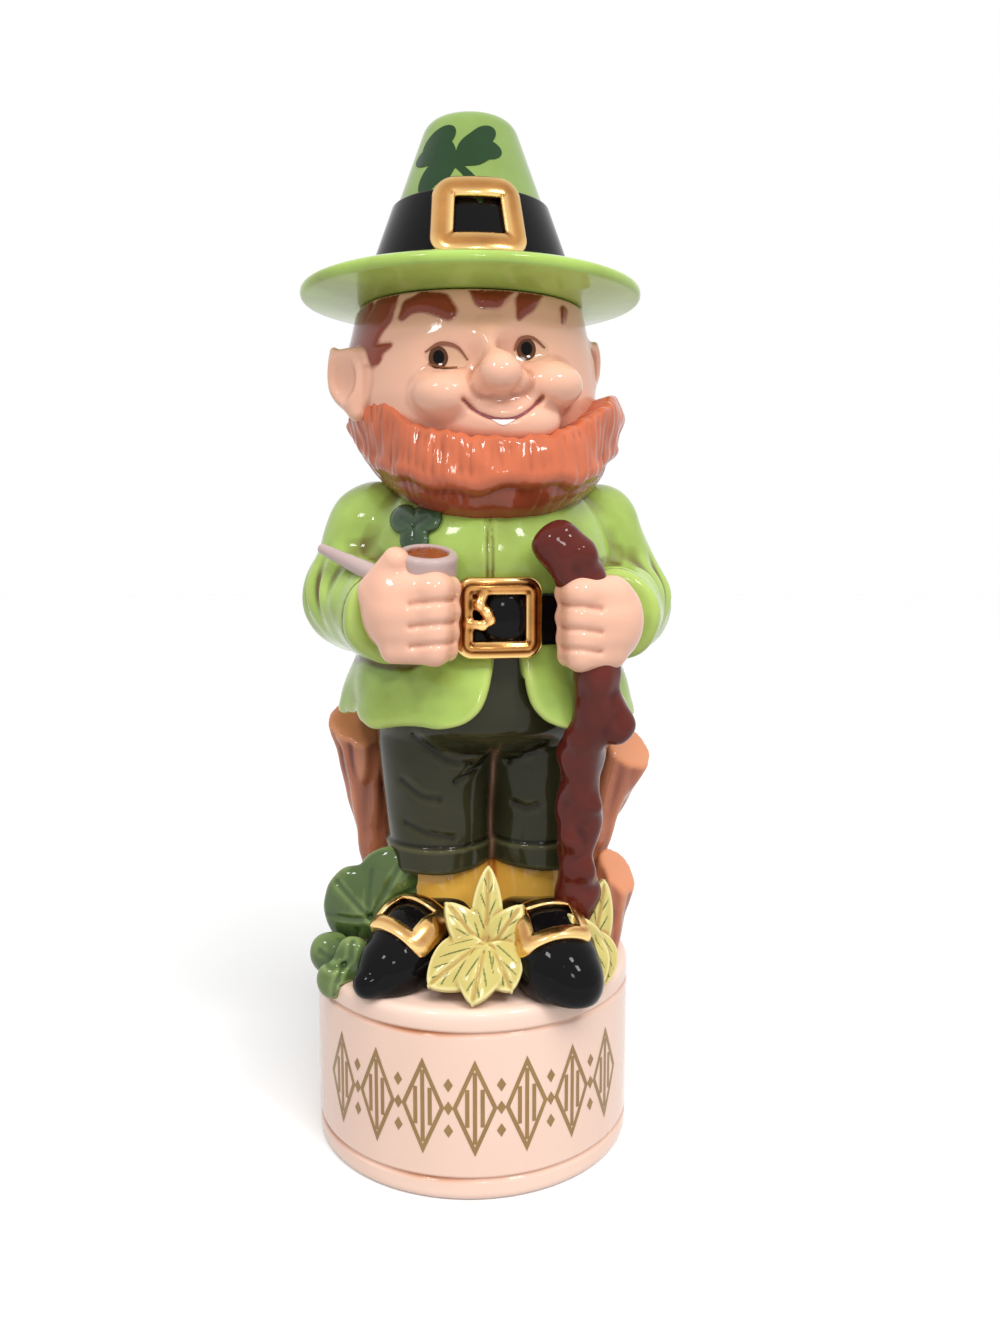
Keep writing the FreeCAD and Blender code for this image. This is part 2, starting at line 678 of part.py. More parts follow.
def stick_points():
    """(point, radius) down the walking stick, from its knob through the left hand to the drum's top."""
    grip = hand_centre(SIDES["left"])
    foot = vec(grip.x - STICK_FOOT_IN, -STOCKING_HALF_DEPTH - SHOE_ANKLE_RADIUS, 0)
    hold = vec(grip.x, grip.y, 0)
    above_hand = grip.z + HAND_HEIGHT / 2
    below_hand = grip.z - HAND_HEIGHT / 2
    return [
        (hold + vec(*STICK_KNOB_STEP, above_hand + STICK_KNOB_ABOVE_HAND), STICK_KNOB_RADIUS),
        (hold + vec(*STICK_GRIP_STEP, above_hand - STICK_GRIP_BELOW_HAND_TOP), STICK_RADIUS),
        (hold + vec(*STICK_WAIST_STEP, below_hand - STICK_WAIST_BELOW_HAND), STICK_RADIUS * 1.05),
        (hold + vec(*STICK_HEM_STEP, hem + STICK_HEM_RISE), STICK_RADIUS * 1.15),
        (vec(grip.x - STICK_THIGH_IN, foot.y - STICK_THIGH_LEAD, hem - STICK_THIGH_DROP), STICK_RADIUS),
        (vec(grip.x - STICK_SHIN_IN, foot.y - STICK_SHIN_LEAD, (cuff + hem) / 2), STICK_RADIUS * 1.05),
        (foot, STICK_RADIUS * 0.9),
    ]


def stick_outside(grow=0.0):
    return run_of_lengths(stick_points(), grow).cut(half_space_below(0))


def walking_stick():
    tools = [jacket_outside(SEAM), belt_outside(SEAM), trousers_outside(SEAM), stockings_outside(SEAM)]
    tools.append(sleeve_outside(SIDES["left"], SEAM))
    return largest_solid(cut_by(stick_outside(), tools))


# Shoes, tree and leaves on the drum's top


def shoe_points(heel, turn, toe_radius):
    """(ankle, toe) of a shoe whose heel is at (x, y) and whose toe is turned out by some degrees."""
    ankle = vec(heel[0], heel[1], SHOE_ANKLE_RADIUS)
    ahead = vec(-math.sin(math.radians(turn)), -math.cos(math.radians(turn)), 0)
    toe = vec(heel[0], heel[1], toe_radius) + ahead * SHOE_LENGTH
    return ankle, toe


def shoe_outside(side, grow=0.0):
    """A long last from the ankle to the toe, with a short collar above the ankle."""
    heel, turn, toe_radius = SHOES[side]
    ankle, toe = shoe_points(heel, turn, toe_radius)
    last = round_cone(ankle, SHOE_ANKLE_RADIUS + grow, toe, toe_radius + grow)
    collar = Part.makeCylinder(SHOE_ANKLE_RADIUS * 0.8 + grow, SHOE_ANKLE_RADIUS + SHOE_COLLAR + grow, ankle)
    return fused([last, collar])


def shoe(side):
    tools = [stockings_outside(SEAM), trousers_outside(SEAM), stick_outside(SEAM), half_space_below(0)]
    return largest_solid(cut_by(shoe_outside(side), tools))


def shoe_buckle(side):
    """A small frame laid on the instep, square to the slope from ankle to toe."""
    heel, turn, toe_radius = SHOES[side]
    ankle, toe = shoe_points(heel, turn, toe_radius)
    slope = math.degrees(math.atan2(SHOE_ANKLE_RADIUS - toe_radius, SHOE_LENGTH))
    deep = SHOE_BUCKLE_DEPTH * 2
    frame = rounded_frame(SHOE_BUCKLE_WIDTH, SHOE_BUCKLE_LENGTH, SHOE_BUCKLE_BAR, deep)
    frame.translate(vec(0, SHOE_BUCKLE_DEPTH, 0))
    frame.rotate(vec(0, 0, 0), vec(1, 0, 0), -90 + 2 * slope)
    middle_radius = (SHOE_ANKLE_RADIUS + toe_radius) / 2
    frame.rotate(vec(0, 0, 0), vec(0, 0, 1), -turn)
    frame.translate((ankle + toe) * 0.5 + vec(0, 0, middle_radius))
    tools = [shoe_outside(side, SEAM), stick_outside(SEAM), stockings_outside(SEAM)]
    return largest_solid(cut_by(frame, tools))


def branch(points, sawn, grow=0.0):
    """A round timber through (point, radius) pairs from its root up, sawn off at the last one."""
    facing = vec(*sawn).normalize()
    beyond = Part.makeBox(LARGE, LARGE, LARGE, vec(-LARGE / 2, -LARGE / 2, 0))
    beyond.rotate(vec(0, 0, 0), *turn_from_z(facing))
    beyond.translate(points[-1][0] + facing * grow)
    return cut_by(run_of_lengths(points, grow), [beyond, half_space_below(0)])


def trunk_outside(grow=0.0):
    base = vec(0, TRUNK_BACK, 0)
    return Part.makeCone(TRUNK_RADIUS + grow, TRUNK_TOP_RADIUS + grow, hem + SKIRT_LENGTH / 2, base)


def clear_of_legs(shape):
    tools = [stockings_outside(SEAM), trousers_outside(SEAM), jacket_outside(SEAM)]
    return largest_solid(cut_by(shape, tools))


def tree_trunk():
    return clear_of_legs(trunk_outside())


def right_log_outside(grow=0.0):
    points = [
        (vec(-HIP_RADIUS - RIGHT_LOG_ROOT_OUT, RIGHT_LOG_BACK, 0), RIGHT_LOG_FOOT_RADIUS),
        (vec(-HIP_RADIUS - RIGHT_LOG_KNEE_OUT, RIGHT_LOG_BACK, cuff), RIGHT_LOG_FOOT_RADIUS),
        (vec(-HIP_RADIUS - RIGHT_LOG_END_OUT, RIGHT_LOG_BACK, hem - RIGHT_LOG_BELOW_HEM), LOG_RADIUS),
    ]
    return branch(points, RIGHT_LOG_SAWN, grow)


def left_log_outside(grow=0.0):
    knee_height = cuff + LEFT_LOG_KNEE_ABOVE_CUFF
    points = [
        (vec(HIP_RADIUS - LEFT_LOG_ROOT_IN, LEFT_LOG_BACK, 0), LEFT_LOG_FOOT_RADIUS),
        (vec(HIP_RADIUS + LEFT_LOG_KNEE_OUT, LEFT_LOG_BACK, knee_height), LEFT_LOG_FOOT_RADIUS),
        (vec(HIP_RADIUS + LEFT_LOG_END_OUT, -LEFT_LOG_END_LEAD, hem - LEFT_LOG_BELOW_HEM), LOG_RADIUS),
    ]
    return branch(points, LEFT_LOG_SAWN, grow)


def left_stub_outside(grow=0.0):
    points = [
        (vec(HIP_RADIUS + STUB_ROOT_OUT, -STUB_ROOT_LEAD, 0), STUB_FOOT_RADIUS),
        (vec(HIP_RADIUS + STUB_END_OUT, -STUB_END_LEAD, cuff - STUB_BELOW_CUFF), STUB_RADIUS),
    ]
    return branch(points, STUB_SAWN, grow)


def right_log():
    return largest_solid(clear_of_legs(right_log_outside()).cut(trunk_outside(SEAM)))


def left_log():
    return largest_solid(clear_of_legs(left_log_outside()).cut(trunk_outside(SEAM)))


def left_stub():
    return largest_solid(clear_of_legs(left_stub_outside()).cut(left_log_outside(SEAM)))


def leaf(root, tip, width):
    """A leaf as a pointed plate from root to tip, lying as level as that line lets it."""
    along = tip - root
    half = along.Length / 2
    ends = (vec(-half, 0, -LEAF_THICKNESS / 2), vec(half, 0, -LEAF_THICKNESS / 2))
    one_side = Part.Arc(ends[0], vec(0, width / 2, -LEAF_THICKNESS / 2), ends[1]).toShape()
    other_side = Part.Arc(ends[1], vec(0, -width / 2, -LEAF_THICKNESS / 2), ends[0]).toShape()
    blade = Part.Face(Part.Wire([one_side, other_side])).extrude(vec(0, 0, LEAF_THICKNESS))
    turn = math.degrees(math.atan2(along.y, along.x))
    climb = math.degrees(math.atan2(along.z, math.hypot(along.x, along.y)))
    blade.rotate(vec(0, 0, 0), vec(0, 1, 0), -climb)
    blade.rotate(vec(0, 0, 0), vec(0, 0, 1), turn)
    blade.translate((root + tip) * 0.5)
    return blade


def feet_and_floor():
    return [
        shoe_outside("right", SEAM),
        shoe_outside("left", SEAM),
        stockings_outside(SEAM),
        trousers_outside(SEAM),
        half_space_below(0),
    ]


def front_spray():
    """The leaf spray between the shoes: its lower leaves lie on the drum, its upper ones lean on the legs."""
    front = vec(0, -STOCKING_HALF_DEPTH, 0)
    middle = front + vec(*FRONT_SPRAY_MIDDLE)
    tips = [(front + vec(*FRONT_SPRAY_TOP_TIP, cuff), LEAF_WIDTH * 0.7)]
    tips += [(front + vec(*tip, cuff * 0.75), LEAF_WIDTH * 0.8) for tip in FRONT_SPRAY_UPPER_TIPS]
    tips += [(front + vec(*tip), LEAF_WIDTH) for tip in FRONT_SPRAY_LOWER_TIPS]
    tips.append((front + vec(*FRONT_SPRAY_RIM_TIP), LEAF_WIDTH * 0.7))
    blades = [leaf(middle, tip, width) for tip, width in tips]
    heart = Part.makeSphere(LEAF_WIDTH * 0.6, middle - vec(0, 0, LEAF_WIDTH * 0.3))
    return largest_solid(cut_by(fused(blades + [heart]), feet_and_floor()))


def side_spray():
    """The smaller spray beside the left shoe."""
    middle = vec(*LEFT_SHOE_HEEL, 0) + vec(*SIDE_SPRAY_MIDDLE)
    tips = [
        (middle + vec(*SIDE_SPRAY_TOP_TIP), LEAF_WIDTH * 0.75),
        (middle + vec(*SIDE_SPRAY_INNER_TIP), LEAF_WIDTH * 0.75),
        (middle + vec(*SIDE_SPRAY_RIM_TIP), LEAF_WIDTH),
    ]
    blades = [leaf(middle, tip, width) for tip, width in tips]
    heart = Part.makeSphere(LEAF_WIDTH * 0.55, middle - vec(0, 0, LEAF_WIDTH * 0.2))
    neighbours = [stick_outside(SEAM), left_log_outside(SEAM), left_stub_outside(SEAM)]
    return largest_solid(cut_by(fused(blades + [heart]), feet_and_floor() + neighbours))


def clover_leaves():
    """The broad leaves heaped at the figure's right, the lowest hanging over the drum's edge."""
    lobes = []
    for point, size in zip(CLOVER_CENTRES, CLOVER_SHARES):
        centre = vec(*point)
        outward = vec(centre.x * 0.4, centre.y, 0).normalize()
        back = centre - outward * (CLOVER_THICKNESS / 2)
        lobes.append(Part.makeCylinder(CLOVER_RADIUS * size, CLOVER_THICKNESS, back, outward))
    return largest_solid(cut_by(fused(lobes), feet_and_floor() + [right_log_outside(SEAM)]))


# Stopper: the cork and the hat that it is fixed in


def cork():
    in_mouth = MOUTH_BORE - CORK_CLEARANCE
    low = seat - CORK_LENGTH_IN_MOUTH
    high = hat_under + CORK_LENGTH_IN_HAT
    chamfer = CORK_TAPER
    return polygon_ring(
        [
            (0, low),
            (in_mouth - CORK_TAPER - chamfer, low),
            (in_mouth - CORK_TAPER, low + chamfer),
            (in_mouth, seat),
            (in_mouth, high),
            (0, high),
        ]
    )


def hat_brim():
    """The brim closes the crown's underside, and a socket on it holds the cork."""
    edge_middle = hat_under + BRIM_EDGE / 2 + BRIM_LIFT
    half_edge = BRIM_EDGE / 2
    corner = half_edge * math.sin(math.radians(45))
    edge_start = BRIM_RADIUS - half_edge
    outline = [
        Part.makeLine(vec(MOUTH_BORE, 0, hat_under), vec(HEAD_SEAT_RADIUS, 0, hat_under)),
        Part.makeLine(vec(HEAD_SEAT_RADIUS, 0, hat_under), vec(edge_start, 0, edge_middle - half_edge)),
        Part.Arc(
            vec(edge_start, 0, edge_middle - half_edge),
            vec(edge_start + half_edge, 0, edge_middle),
            vec(edge_start + corner, 0, edge_middle + corner),
        ).toShape(),
        Part.makeLine(vec(edge_start + corner, 0, edge_middle + corner), vec(CROWN_BASE_RADIUS, 0, brim_top)),
        Part.makeLine(vec(CROWN_BASE_RADIUS, 0, brim_top), vec(MOUTH_BORE, 0, brim_top)),
        Part.makeLine(vec(MOUTH_BORE, 0, brim_top), vec(MOUTH_BORE, 0, hat_under)),
    ]
    disc = Part.Face(Part.Wire(outline)).revolve(vec(0, 0, 0), vec(0, 0, 1), 360)
    socket_top = hat_under + CORK_LENGTH_IN_HAT + CORK_CLEARANCE
    socket_radius = MOUTH_BORE + SOCKET_WALL
    socket = polygon_ring(
        [
            (MOUTH_BORE, brim_top - 1.0),
            (socket_radius, brim_top - 1.0),
            (socket_radius, socket_top + SOCKET_WALL),
            (0, socket_top + SOCKET_WALL),
            (0, socket_top),
            (MOUTH_BORE, socket_top),
        ]
    )
    return fused([disc, socket])


def crown_radius(height):
    """The crown's outside radius at a height in the part's frame."""
    share = (height - brim_top) / (hat_top - brim_top)
    return CROWN_BASE_RADIUS + (CROWN_TOP_RADIUS - CROWN_BASE_RADIUS) * share


def hat_crown():
    tall = hat_top - brim_top
    outside = Part.makeCone(CROWN_BASE_RADIUS, CROWN_TOP_RADIUS, tall, vec(0, 0, brim_top))
    top_edges = [e for e in outside.Edges if e.Closed and e.CenterOfMass.z > hat_top - 1]
    outside = outside.makeFillet(CROWN_TOP_ROUND, top_edges)
    inside_top = hat_top - CROWN_WALL * 1.5
    inside = Part.makeCone(
        CROWN_BASE_RADIUS - CROWN_WALL,
        crown_radius(inside_top) - CROWN_WALL,
        inside_top - brim_top + 1,
        vec(0, 0, brim_top - 1),
    )
    return outside.cut(inside)


def crown_sleeve(low, high, inner_grow, outer_grow):
    """A ring round the crown, between two offsets from its side."""
    return polygon_ring(
        [
            (crown_radius(low) + inner_grow, low),
            (crown_radius(low) + outer_grow, low),
            (crown_radius(high) + outer_grow, high),
            (crown_radius(high) + inner_grow, high),
        ]
    )


def hat_band():
    return crown_sleeve(brim_top + SEAM, brim_top + BAND_HEIGHT, SEAM, BAND_THICKNESS)


def hat_buckle():
    """A wide frame that leans back with the crown and stands on the brim."""
    slope = math.degrees(math.atan2(CROWN_BASE_RADIUS - CROWN_TOP_RADIUS, hat_top - brim_top))
    follow_round = HAT_BUCKLE_DEPTH + HAT_BUCKLE_WRAP
    frame = rounded_frame(
        HAT_BUCKLE_WIDTH, HAT_BUCKLE_HEIGHT, HAT_BUCKLE_BAR, HAT_BUCKLE_DEPTH + follow_round
    )
    frame.translate(vec(0, follow_round, HAT_BUCKLE_HEIGHT / 2))
    frame.rotate(vec(0, 0, 0), vec(1, 0, 0), -slope)
    frame.translate(vec(0, -CROWN_BASE_RADIUS - BAND_THICKNESS, brim_top + HAT_BUCKLE_RISE))
    under = brim_top - BRIM_EDGE / 2
    crown_core = polygon_ring(
        [
            (0, under),
            (crown_radius(under) + SEAM, under),
            (crown_radius(hat_top) + SEAM, hat_top),
            (0, hat_top),
        ]
    )
    band_core = crown_sleeve(under, brim_top + BAND_HEIGHT + SEAM, 0, BAND_THICKNESS + SEAM)
    below_brim = half_space_below(brim_top + SEAM)
    trimmed = cut_by(turned_on_axis(frame), [crown_core, band_core, below_brim])
    return largest_solid(trimmed)


def build():
    """Every node by name, in the part's frame."""
    right, left = SIDES["right"], SIDES["left"]
    nodes = {
        "base_drum": drum(),
        "stockings": place(stockings()),
        "trousers": place(trousers()),
        "jacket": place(jacket()),
        "head": head_on_neck(head()),
        "mouth_ring": mouth_ring(),
        "beard": beard(),
        "belt": place(belt()),
        "belt_buckle": place(belt_buckle()),
        "belt_prong": place(belt_prong()),
        "lapel_shamrock": lapel_shamrock(),
        "right_sleeve": place(sleeve(right)),
        "left_sleeve": place(sleeve(left)),
        "right_hand": place(hand(right)),
        "left_hand": place(hand(left)),
        "pipe_bowl": place(pipe_bowl()),
        "pipe_stem": place(pipe_stem()),
        "walking_stick": place(walking_stick()),
        "right_shoe": place(shoe("right")),
        "left_shoe": place(shoe("left")),
        "right_shoe_buckle": place(shoe_buckle("right")),
        "left_shoe_buckle": place(shoe_buckle("left")),
        "tree_trunk": place(tree_trunk()),
        "right_log": place(right_log()),
        "left_log": place(left_log()),
        "left_stub": place(left_stub()),
        "front_leaf_spray": place(front_spray()),
        "side_leaf_spray": place(side_spray()),
        "clover_leaves": place(clover_leaves()),
        "cork": cork(),
        "hat_brim": hat_brim(),
        "hat_crown": hat_crown(),
        "hat_band": hat_band(),
        "hat_buckle": hat_buckle(),
    }
    return nodes


def main():
    os.makedirs("parts", exist_ok=True)
    for name, shape in build().items():
        shape.exportStep(f"parts/{name}.step")
        solids = shape.Solids
        print(f"{name}: {len(solids)} solid(s), {shape.Volume / 1000:.2f} ml, valid {shape.isValid()}")


main()
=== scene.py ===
import math

import bpy
import numpy as np
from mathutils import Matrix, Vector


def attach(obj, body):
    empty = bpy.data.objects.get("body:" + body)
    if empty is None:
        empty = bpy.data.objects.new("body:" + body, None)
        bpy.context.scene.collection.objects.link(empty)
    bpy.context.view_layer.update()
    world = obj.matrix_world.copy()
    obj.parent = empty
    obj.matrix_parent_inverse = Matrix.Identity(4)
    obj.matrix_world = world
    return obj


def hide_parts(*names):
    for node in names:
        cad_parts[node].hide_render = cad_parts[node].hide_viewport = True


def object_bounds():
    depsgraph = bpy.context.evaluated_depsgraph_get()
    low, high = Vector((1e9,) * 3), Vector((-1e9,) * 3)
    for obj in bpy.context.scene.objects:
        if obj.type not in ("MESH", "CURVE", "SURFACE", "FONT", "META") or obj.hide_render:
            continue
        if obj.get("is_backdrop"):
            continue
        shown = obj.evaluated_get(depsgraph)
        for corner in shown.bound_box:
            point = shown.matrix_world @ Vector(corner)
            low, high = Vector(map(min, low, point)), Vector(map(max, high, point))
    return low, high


# Dressed model of the figural decanter: carved, glazed and painted ceramic over the CAD solids.
# Shapes are signed distance fields in millimetres, in the CAD frame, meshed and then scaled to metres.

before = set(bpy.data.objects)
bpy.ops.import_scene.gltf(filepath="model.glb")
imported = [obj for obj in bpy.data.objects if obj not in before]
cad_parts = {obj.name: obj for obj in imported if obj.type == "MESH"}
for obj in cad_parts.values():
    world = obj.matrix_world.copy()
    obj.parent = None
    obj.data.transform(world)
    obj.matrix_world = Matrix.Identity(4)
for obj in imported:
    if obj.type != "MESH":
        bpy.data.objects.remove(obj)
cad_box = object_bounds()
scene = bpy.context.scene

# Places and heights that the CAD solids have
FIGURE_CENTRE = np.array([4.5, 2, 0])
FIGURE_TURN = math.radians(9)
DRUM_RADIUS = 48.0
DRUM_TOP = 55.0
ON_DRUM = DRUM_TOP + 0.1
CUFF = 86.0
HEM = 130.0
SEAT = 247.0
HAT_UNDER = 247.3
BRIM_TOP = 256.8
HAT_TOP = 300.0

# The usual mesh size, and how high each layer of paint lies
FINE = 0.55
PAINT_LIFT = 0.09

# Where a turned outline ends beside the axis, and the distance within which its corners stay sharp
AXIS_RADIUS = 0.1
NEAR_AXIS = 0.5

FAR = 1e3
TINY = 1e-9
SEED = 7


# Distance fields


def length(v):
    return np.sqrt((v * v).sum(axis=-1))


def unit(v):
    return np.array(v) / np.linalg.norm(v)


def off_axis(p):
    """Distance from the Z axis."""
    return np.hypot(p[:, 0], p[:, 1])


def figure(p):
    """Points in the figure's own frame, where it faces -Y. Heights are unchanged."""
    x, y, z = (p - FIGURE_CENTRE).T
    c, s = math.cos(FIGURE_TURN), math.sin(FIGURE_TURN)
    return np.stack([x * c + y * s, y * c - x * s, z], axis=1)


def blend(a, b, k):
    """Union of two fields with a fillet about k wide."""
    h = np.maximum(k - np.abs(a - b), 0) / k
    return np.minimum(a, b) - h * h * k / 4


def joined(fields, k):
    """Union of several fields, taken one after another."""
    d = fields[0]
    for field in fields[1:]:
        d = blend(d, field, k)
    return d


def carve(a, b, k):
    """Field a with b taken away, the edge rounded over about k."""
    return -blend(-a, b, k)


def both(a, b, k):
    """What lies in both fields, the edge rounded over about k."""
    return -blend(-a, -b, k)


def beyond(a, b):
    """Distance outside the corner of two walls at right angles, below zero inside it."""
    return np.hypot(np.maximum(a, 0), np.maximum(b, 0)) + np.minimum(np.maximum(a, b), 0)


def ball(p, centre, radius):
    return length(p - np.array(centre)) - radius


def ellipsoid(p, centre, radii, axes=None):
    q = p - np.array(centre)
    if axes is not None:
        q = q @ np.array(axes).T
    radii = np.array(radii)
    k0 = length(q / radii)
    k1 = length(q / radii**2)
    return k0 * (k0 - 1) / np.maximum(k1, TINY)


def limb(p, a, b, ra, rb):
    """A capsule whose radius changes from one end to the other."""
    a, b = np.array(a, float), np.array(b, float)
    ab = b - a
    t = np.clip((p - a) @ ab / (ab @ ab), 0, 1)
    return length(p - a - t[:, None] * ab) - (ra + (rb - ra) * t)


def chain(p, points, k):
    """Capsules run end to end through (x, y, z, radius) points."""
    return joined([limb(p, a[:3], b[:3], a[3], b[3]) for a, b in zip(points, points[1:])], k)


def smooth_curve(points, count):
    """A Catmull-Rom curve through points of any width, sampled evenly between them."""
    pts = np.array(points, float)
    padded = np.vstack([2 * pts[0] - pts[1], pts, 2 * pts[-1] - pts[-2]])
    t = np.linspace(0, len(pts) - 1, count)
    i = np.minimum(t.astype(int), len(pts) - 2)
    u = (t - i)[:, None]
    p0, p1, p2, p3 = padded[i], padded[i + 1], padded[i + 2], padded[i + 3]
    square = 2 * p0 - 5 * p1 + 4 * p2 - p3
    cube = 3 * p1 - p0 - 3 * p2 + p3
    return 0.5 * (2 * p1 + (p2 - p0) * u + square * u**2 + cube * u**3)


TURNED_SLOPE = 0.92


def turned(p, side, edge=2):
    """A solid of revolution about Z from (radius, height) points listed upwards, its ends rounded."""
    curve = smooth_curve(side, 120)
    radius = np.interp(p[:, 2], curve[:, 1], curve[:, 0])
    d = (off_axis(p) - radius) * TURNED_SLOPE
    middle = (side[0][1] + side[-1][1]) / 2
    half = (side[-1][1] - side[0][1]) / 2
    return both(d, np.abs(p[:, 2] - middle) - half, edge)


def step(x, low, high):
    """0 on the low side and 1 on the high side, with a smooth rise between."""
    t = np.clip((x - low) / (high - low), 0, 1)
    return t * t * (3 - 2 * t)


def hump(x, width):
    """1 at zero, fading to nothing over about that width."""
    return np.exp(-((x / width) ** 2))


def lumps(p, size, seed):
    """Smooth waves of about that size, between about -1 and 1."""
    rng = np.random.default_rng(SEED + seed)
    waves = 6
    total = 0.0
    for _ in range(waves):
        direction = rng.normal(size=3)
        direction *= 2 * math.pi / size / np.linalg.norm(direction)
        total = total + np.sin(p @ direction + rng.uniform(0, 6.28))
    return total / (waves / 2)


def line_distance(p, points):
    """Distance from a curve through (x, z) points, as seen from the front."""
    q = p[:, [0, 2]]
    curve = smooth_curve(points, 8 * len(points))
    best = np.full(len(q), FAR)
    for a, b in zip(curve, curve[1:]):
        ab = b - a
        t = np.clip((q - a) @ ab / max(ab @ ab, TINY), 0, 1)
        best = np.minimum(best, length(q - a - t[:, None] * ab))
    return best


CREASE_FADE = 4.0


def crease(p, d, points, width, depth, front=0):
    """Presses a soft line into the part of a shape that lies before a plane across Y."""
    press = depth * hump(line_distance(p, points), width)
    return d + press * step(p[:, 1], front + CREASE_FADE, front - CREASE_FADE)


# Meshes

BLOCK = 4
BLOCK_REACH = 1.9
LEAST_SLOPE = 0.2
POOL_AND_SHADE_START = 0.08
EDGE_START = 0.25
EDGE_GAIN = 1.5
CORNER_SHARE = 0.45


def lattice(counts):
    """Every whole-number place in a box of that many steps along each axis."""
    return np.stack(np.meshgrid(*[np.arange(n) for n in counts], indexing="ij"), axis=-1).reshape(-1, 3)


def sampled(field, low, high, size):
    """A field's values on a grid, worked out only in the blocks that its surface may cross."""
    cells = np.ceil((high - low) / (size * BLOCK)).astype(int)
    blocks = lattice(cells)
    at_middle = field(low + (blocks + 0.5) * size * BLOCK)
    near = np.abs(at_middle) < size * BLOCK * BLOCK_REACH
    shape = cells * BLOCK + 1
    values = np.full(shape, FAR, np.float32)
    spread = np.sign(at_middle).reshape(cells)
    for axis in range(3):
        spread = np.repeat(spread, BLOCK, axis)
    values[:-1, :-1, :-1] = FAR * spread
    index = (blocks[near][:, None, :] * BLOCK + lattice([BLOCK + 1] * 3)[None]).reshape(-1, 3)
    flat = np.unique(np.ravel_multi_index(index.T, shape))
    index = np.stack(np.unravel_index(flat, shape), axis=1)
    values.ravel()[flat] = field(low + index * size)
    return values


def net(field, low, high, size):
    """Vertices and quads of a field's surface inside a box, by surface nets."""
    low, high = np.array(low, float), np.array(high, float)
    values = sampled(field, low, high, size)
    shape = np.array(values.shape)
    inside = values < 0
    corner = lattice([2, 2, 2])
    count = sum(
        inside[i : shape[0] - 1 + i, j : shape[1] - 1 + j, k : shape[2] - 1 + k].astype(np.int8)
        for i, j, k in corner
    )
    active = np.argwhere((count > 0) & (count < len(corner)))
    at = [values[tuple((active + c).T)] for c in corner]
    total = np.zeros((len(active), 3))
    crossings = np.zeros(len(active))
    for a in range(len(corner)):
        for b in range(a + 1, len(corner)):
            if np.abs(corner[a] - corner[b]).sum() != 1:
                continue
            cross = (at[a] < 0) != (at[b] < 0)
            t = at[a] / np.where(cross, at[a] - at[b], 1)
            total += np.where(cross[:, None], corner[a] + t[:, None] * (corner[b] - corner[a]), 0)
            crossings += cross
    points = low + (active + total / crossings[:, None]) * size
    number = np.full(tuple(shape - 1), -1)
    number[tuple(active.T)] = np.arange(len(active))
    quads = []
    for axis in range(3):
        first, second = [a for a in range(3) if a != axis]
        ahead = np.zeros(3, int)
        ahead[axis] = 1
        here = inside[tuple(slice(0, n - h) for n, h in zip(shape, ahead))]
        there = inside[tuple(slice(h, None) for h in ahead)]
        edges = np.argwhere(here != there)
        edges = edges[(edges[:, first] > 0) & (edges[:, second] > 0)]
        edges = edges[(edges[:, first] < shape[first] - 1) & (edges[:, second] < shape[second] - 1)]
        ring = []
        for f, s in ((1, 1), (0, 1), (0, 0), (1, 0)):
            cell = edges.copy()
            cell[:, first] -= f
            cell[:, second] -= s
            ring.append(number[tuple(cell.T)])
        quad = np.stack(ring, axis=1)
        flip = here[tuple(edges.T)] ^ (axis != 1)
        quad[flip] = quad[flip][:, ::-1]
        quads.append(quad)
    return points, np.concatenate(quads)


def slope(field, points, reach=0.3):
    """The field's gradient by differences."""
    parts = [(field(points + offset) - field(points - offset)) / (2 * reach) for offset in reach * np.eye(3)]
    return np.stack(parts, axis=1)


def bend(field, points, reach=1.1):
    """How sharply a surface turns at each point: above zero on edges, below zero in creases."""
    total = -6 * field(points)
    for offset in reach * np.eye(3):
        total += field(points + offset) + field(points - offset)
    return total / reach**2


def new_object(name, body, points, faces, material, nodes=(), **attributes):
    """A smooth mesh from points in millimetres, fixed to a body, in place of the CAD nodes named."""
    mesh = bpy.data.meshes.new(name)
    mesh.from_pydata((points / 1000).tolist(), [], [list(face) for face in faces])
    mesh.polygons.foreach_set("use_smooth", [True] * len(mesh.polygons))
    for key, values in attributes.items():
        layer = mesh.attributes.new(key, "FLOAT", "POINT")
        layer.data.foreach_set("value", np.asarray(values, np.float32))
    mesh.materials.append(material)
    obj = bpy.data.objects.new(name, mesh)
    scene.collection.objects.link(obj)
    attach(obj, body)
    if nodes:
        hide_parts(*nodes)


def carved(name, field, low, high, material, nodes=None, body="vessel", size=FINE, paint=None, pooling_and_shade=2.4):
    """Meshes a field in place of the CAD nodes named, or of the one with its own name.

    paint(points) gives the share of the second colour, and pooling_and_shade how much creases darken: pooled
    glaze and painted shade.
    """
    points, quads = net(field, low, high, size)
    for _ in range(2):
        normal = slope(field, points)
        squared = np.maximum((normal * normal).sum(axis=1), LEAST_SLOPE)
        points = points - np.clip(field(points) / squared, -size, size)[:, None] * normal
    turn = bend(field, points)
    attributes = {
        # pool_and_shade darkens creases: glaze pooled there, and painted shade as well.
        "pool_and_shade": np.clip(-pooling_and_shade * turn - POOL_AND_SHADE_START, 0, 1),
        "edge": np.clip(EDGE_GAIN * turn - EDGE_START, 0, 1),
    }
    if paint is not None:
        attributes["paint"] = paint(points)
    new_object(name, body, points, quads, material, nodes or [name], **attributes)


def strips(rows, columns, rows_close, columns_close):
    """Quads between rows of points. Rows or columns that close run on to the first again."""
    faces = []
    for i in range(rows if rows_close else rows - 1):
        j = (i + 1) % rows
        for k in range(columns if columns_close else columns - 1):
            m = (k + 1) % columns
            faces.append((i * columns + k, j * columns + k, j * columns + m, i * columns + m))
    return faces


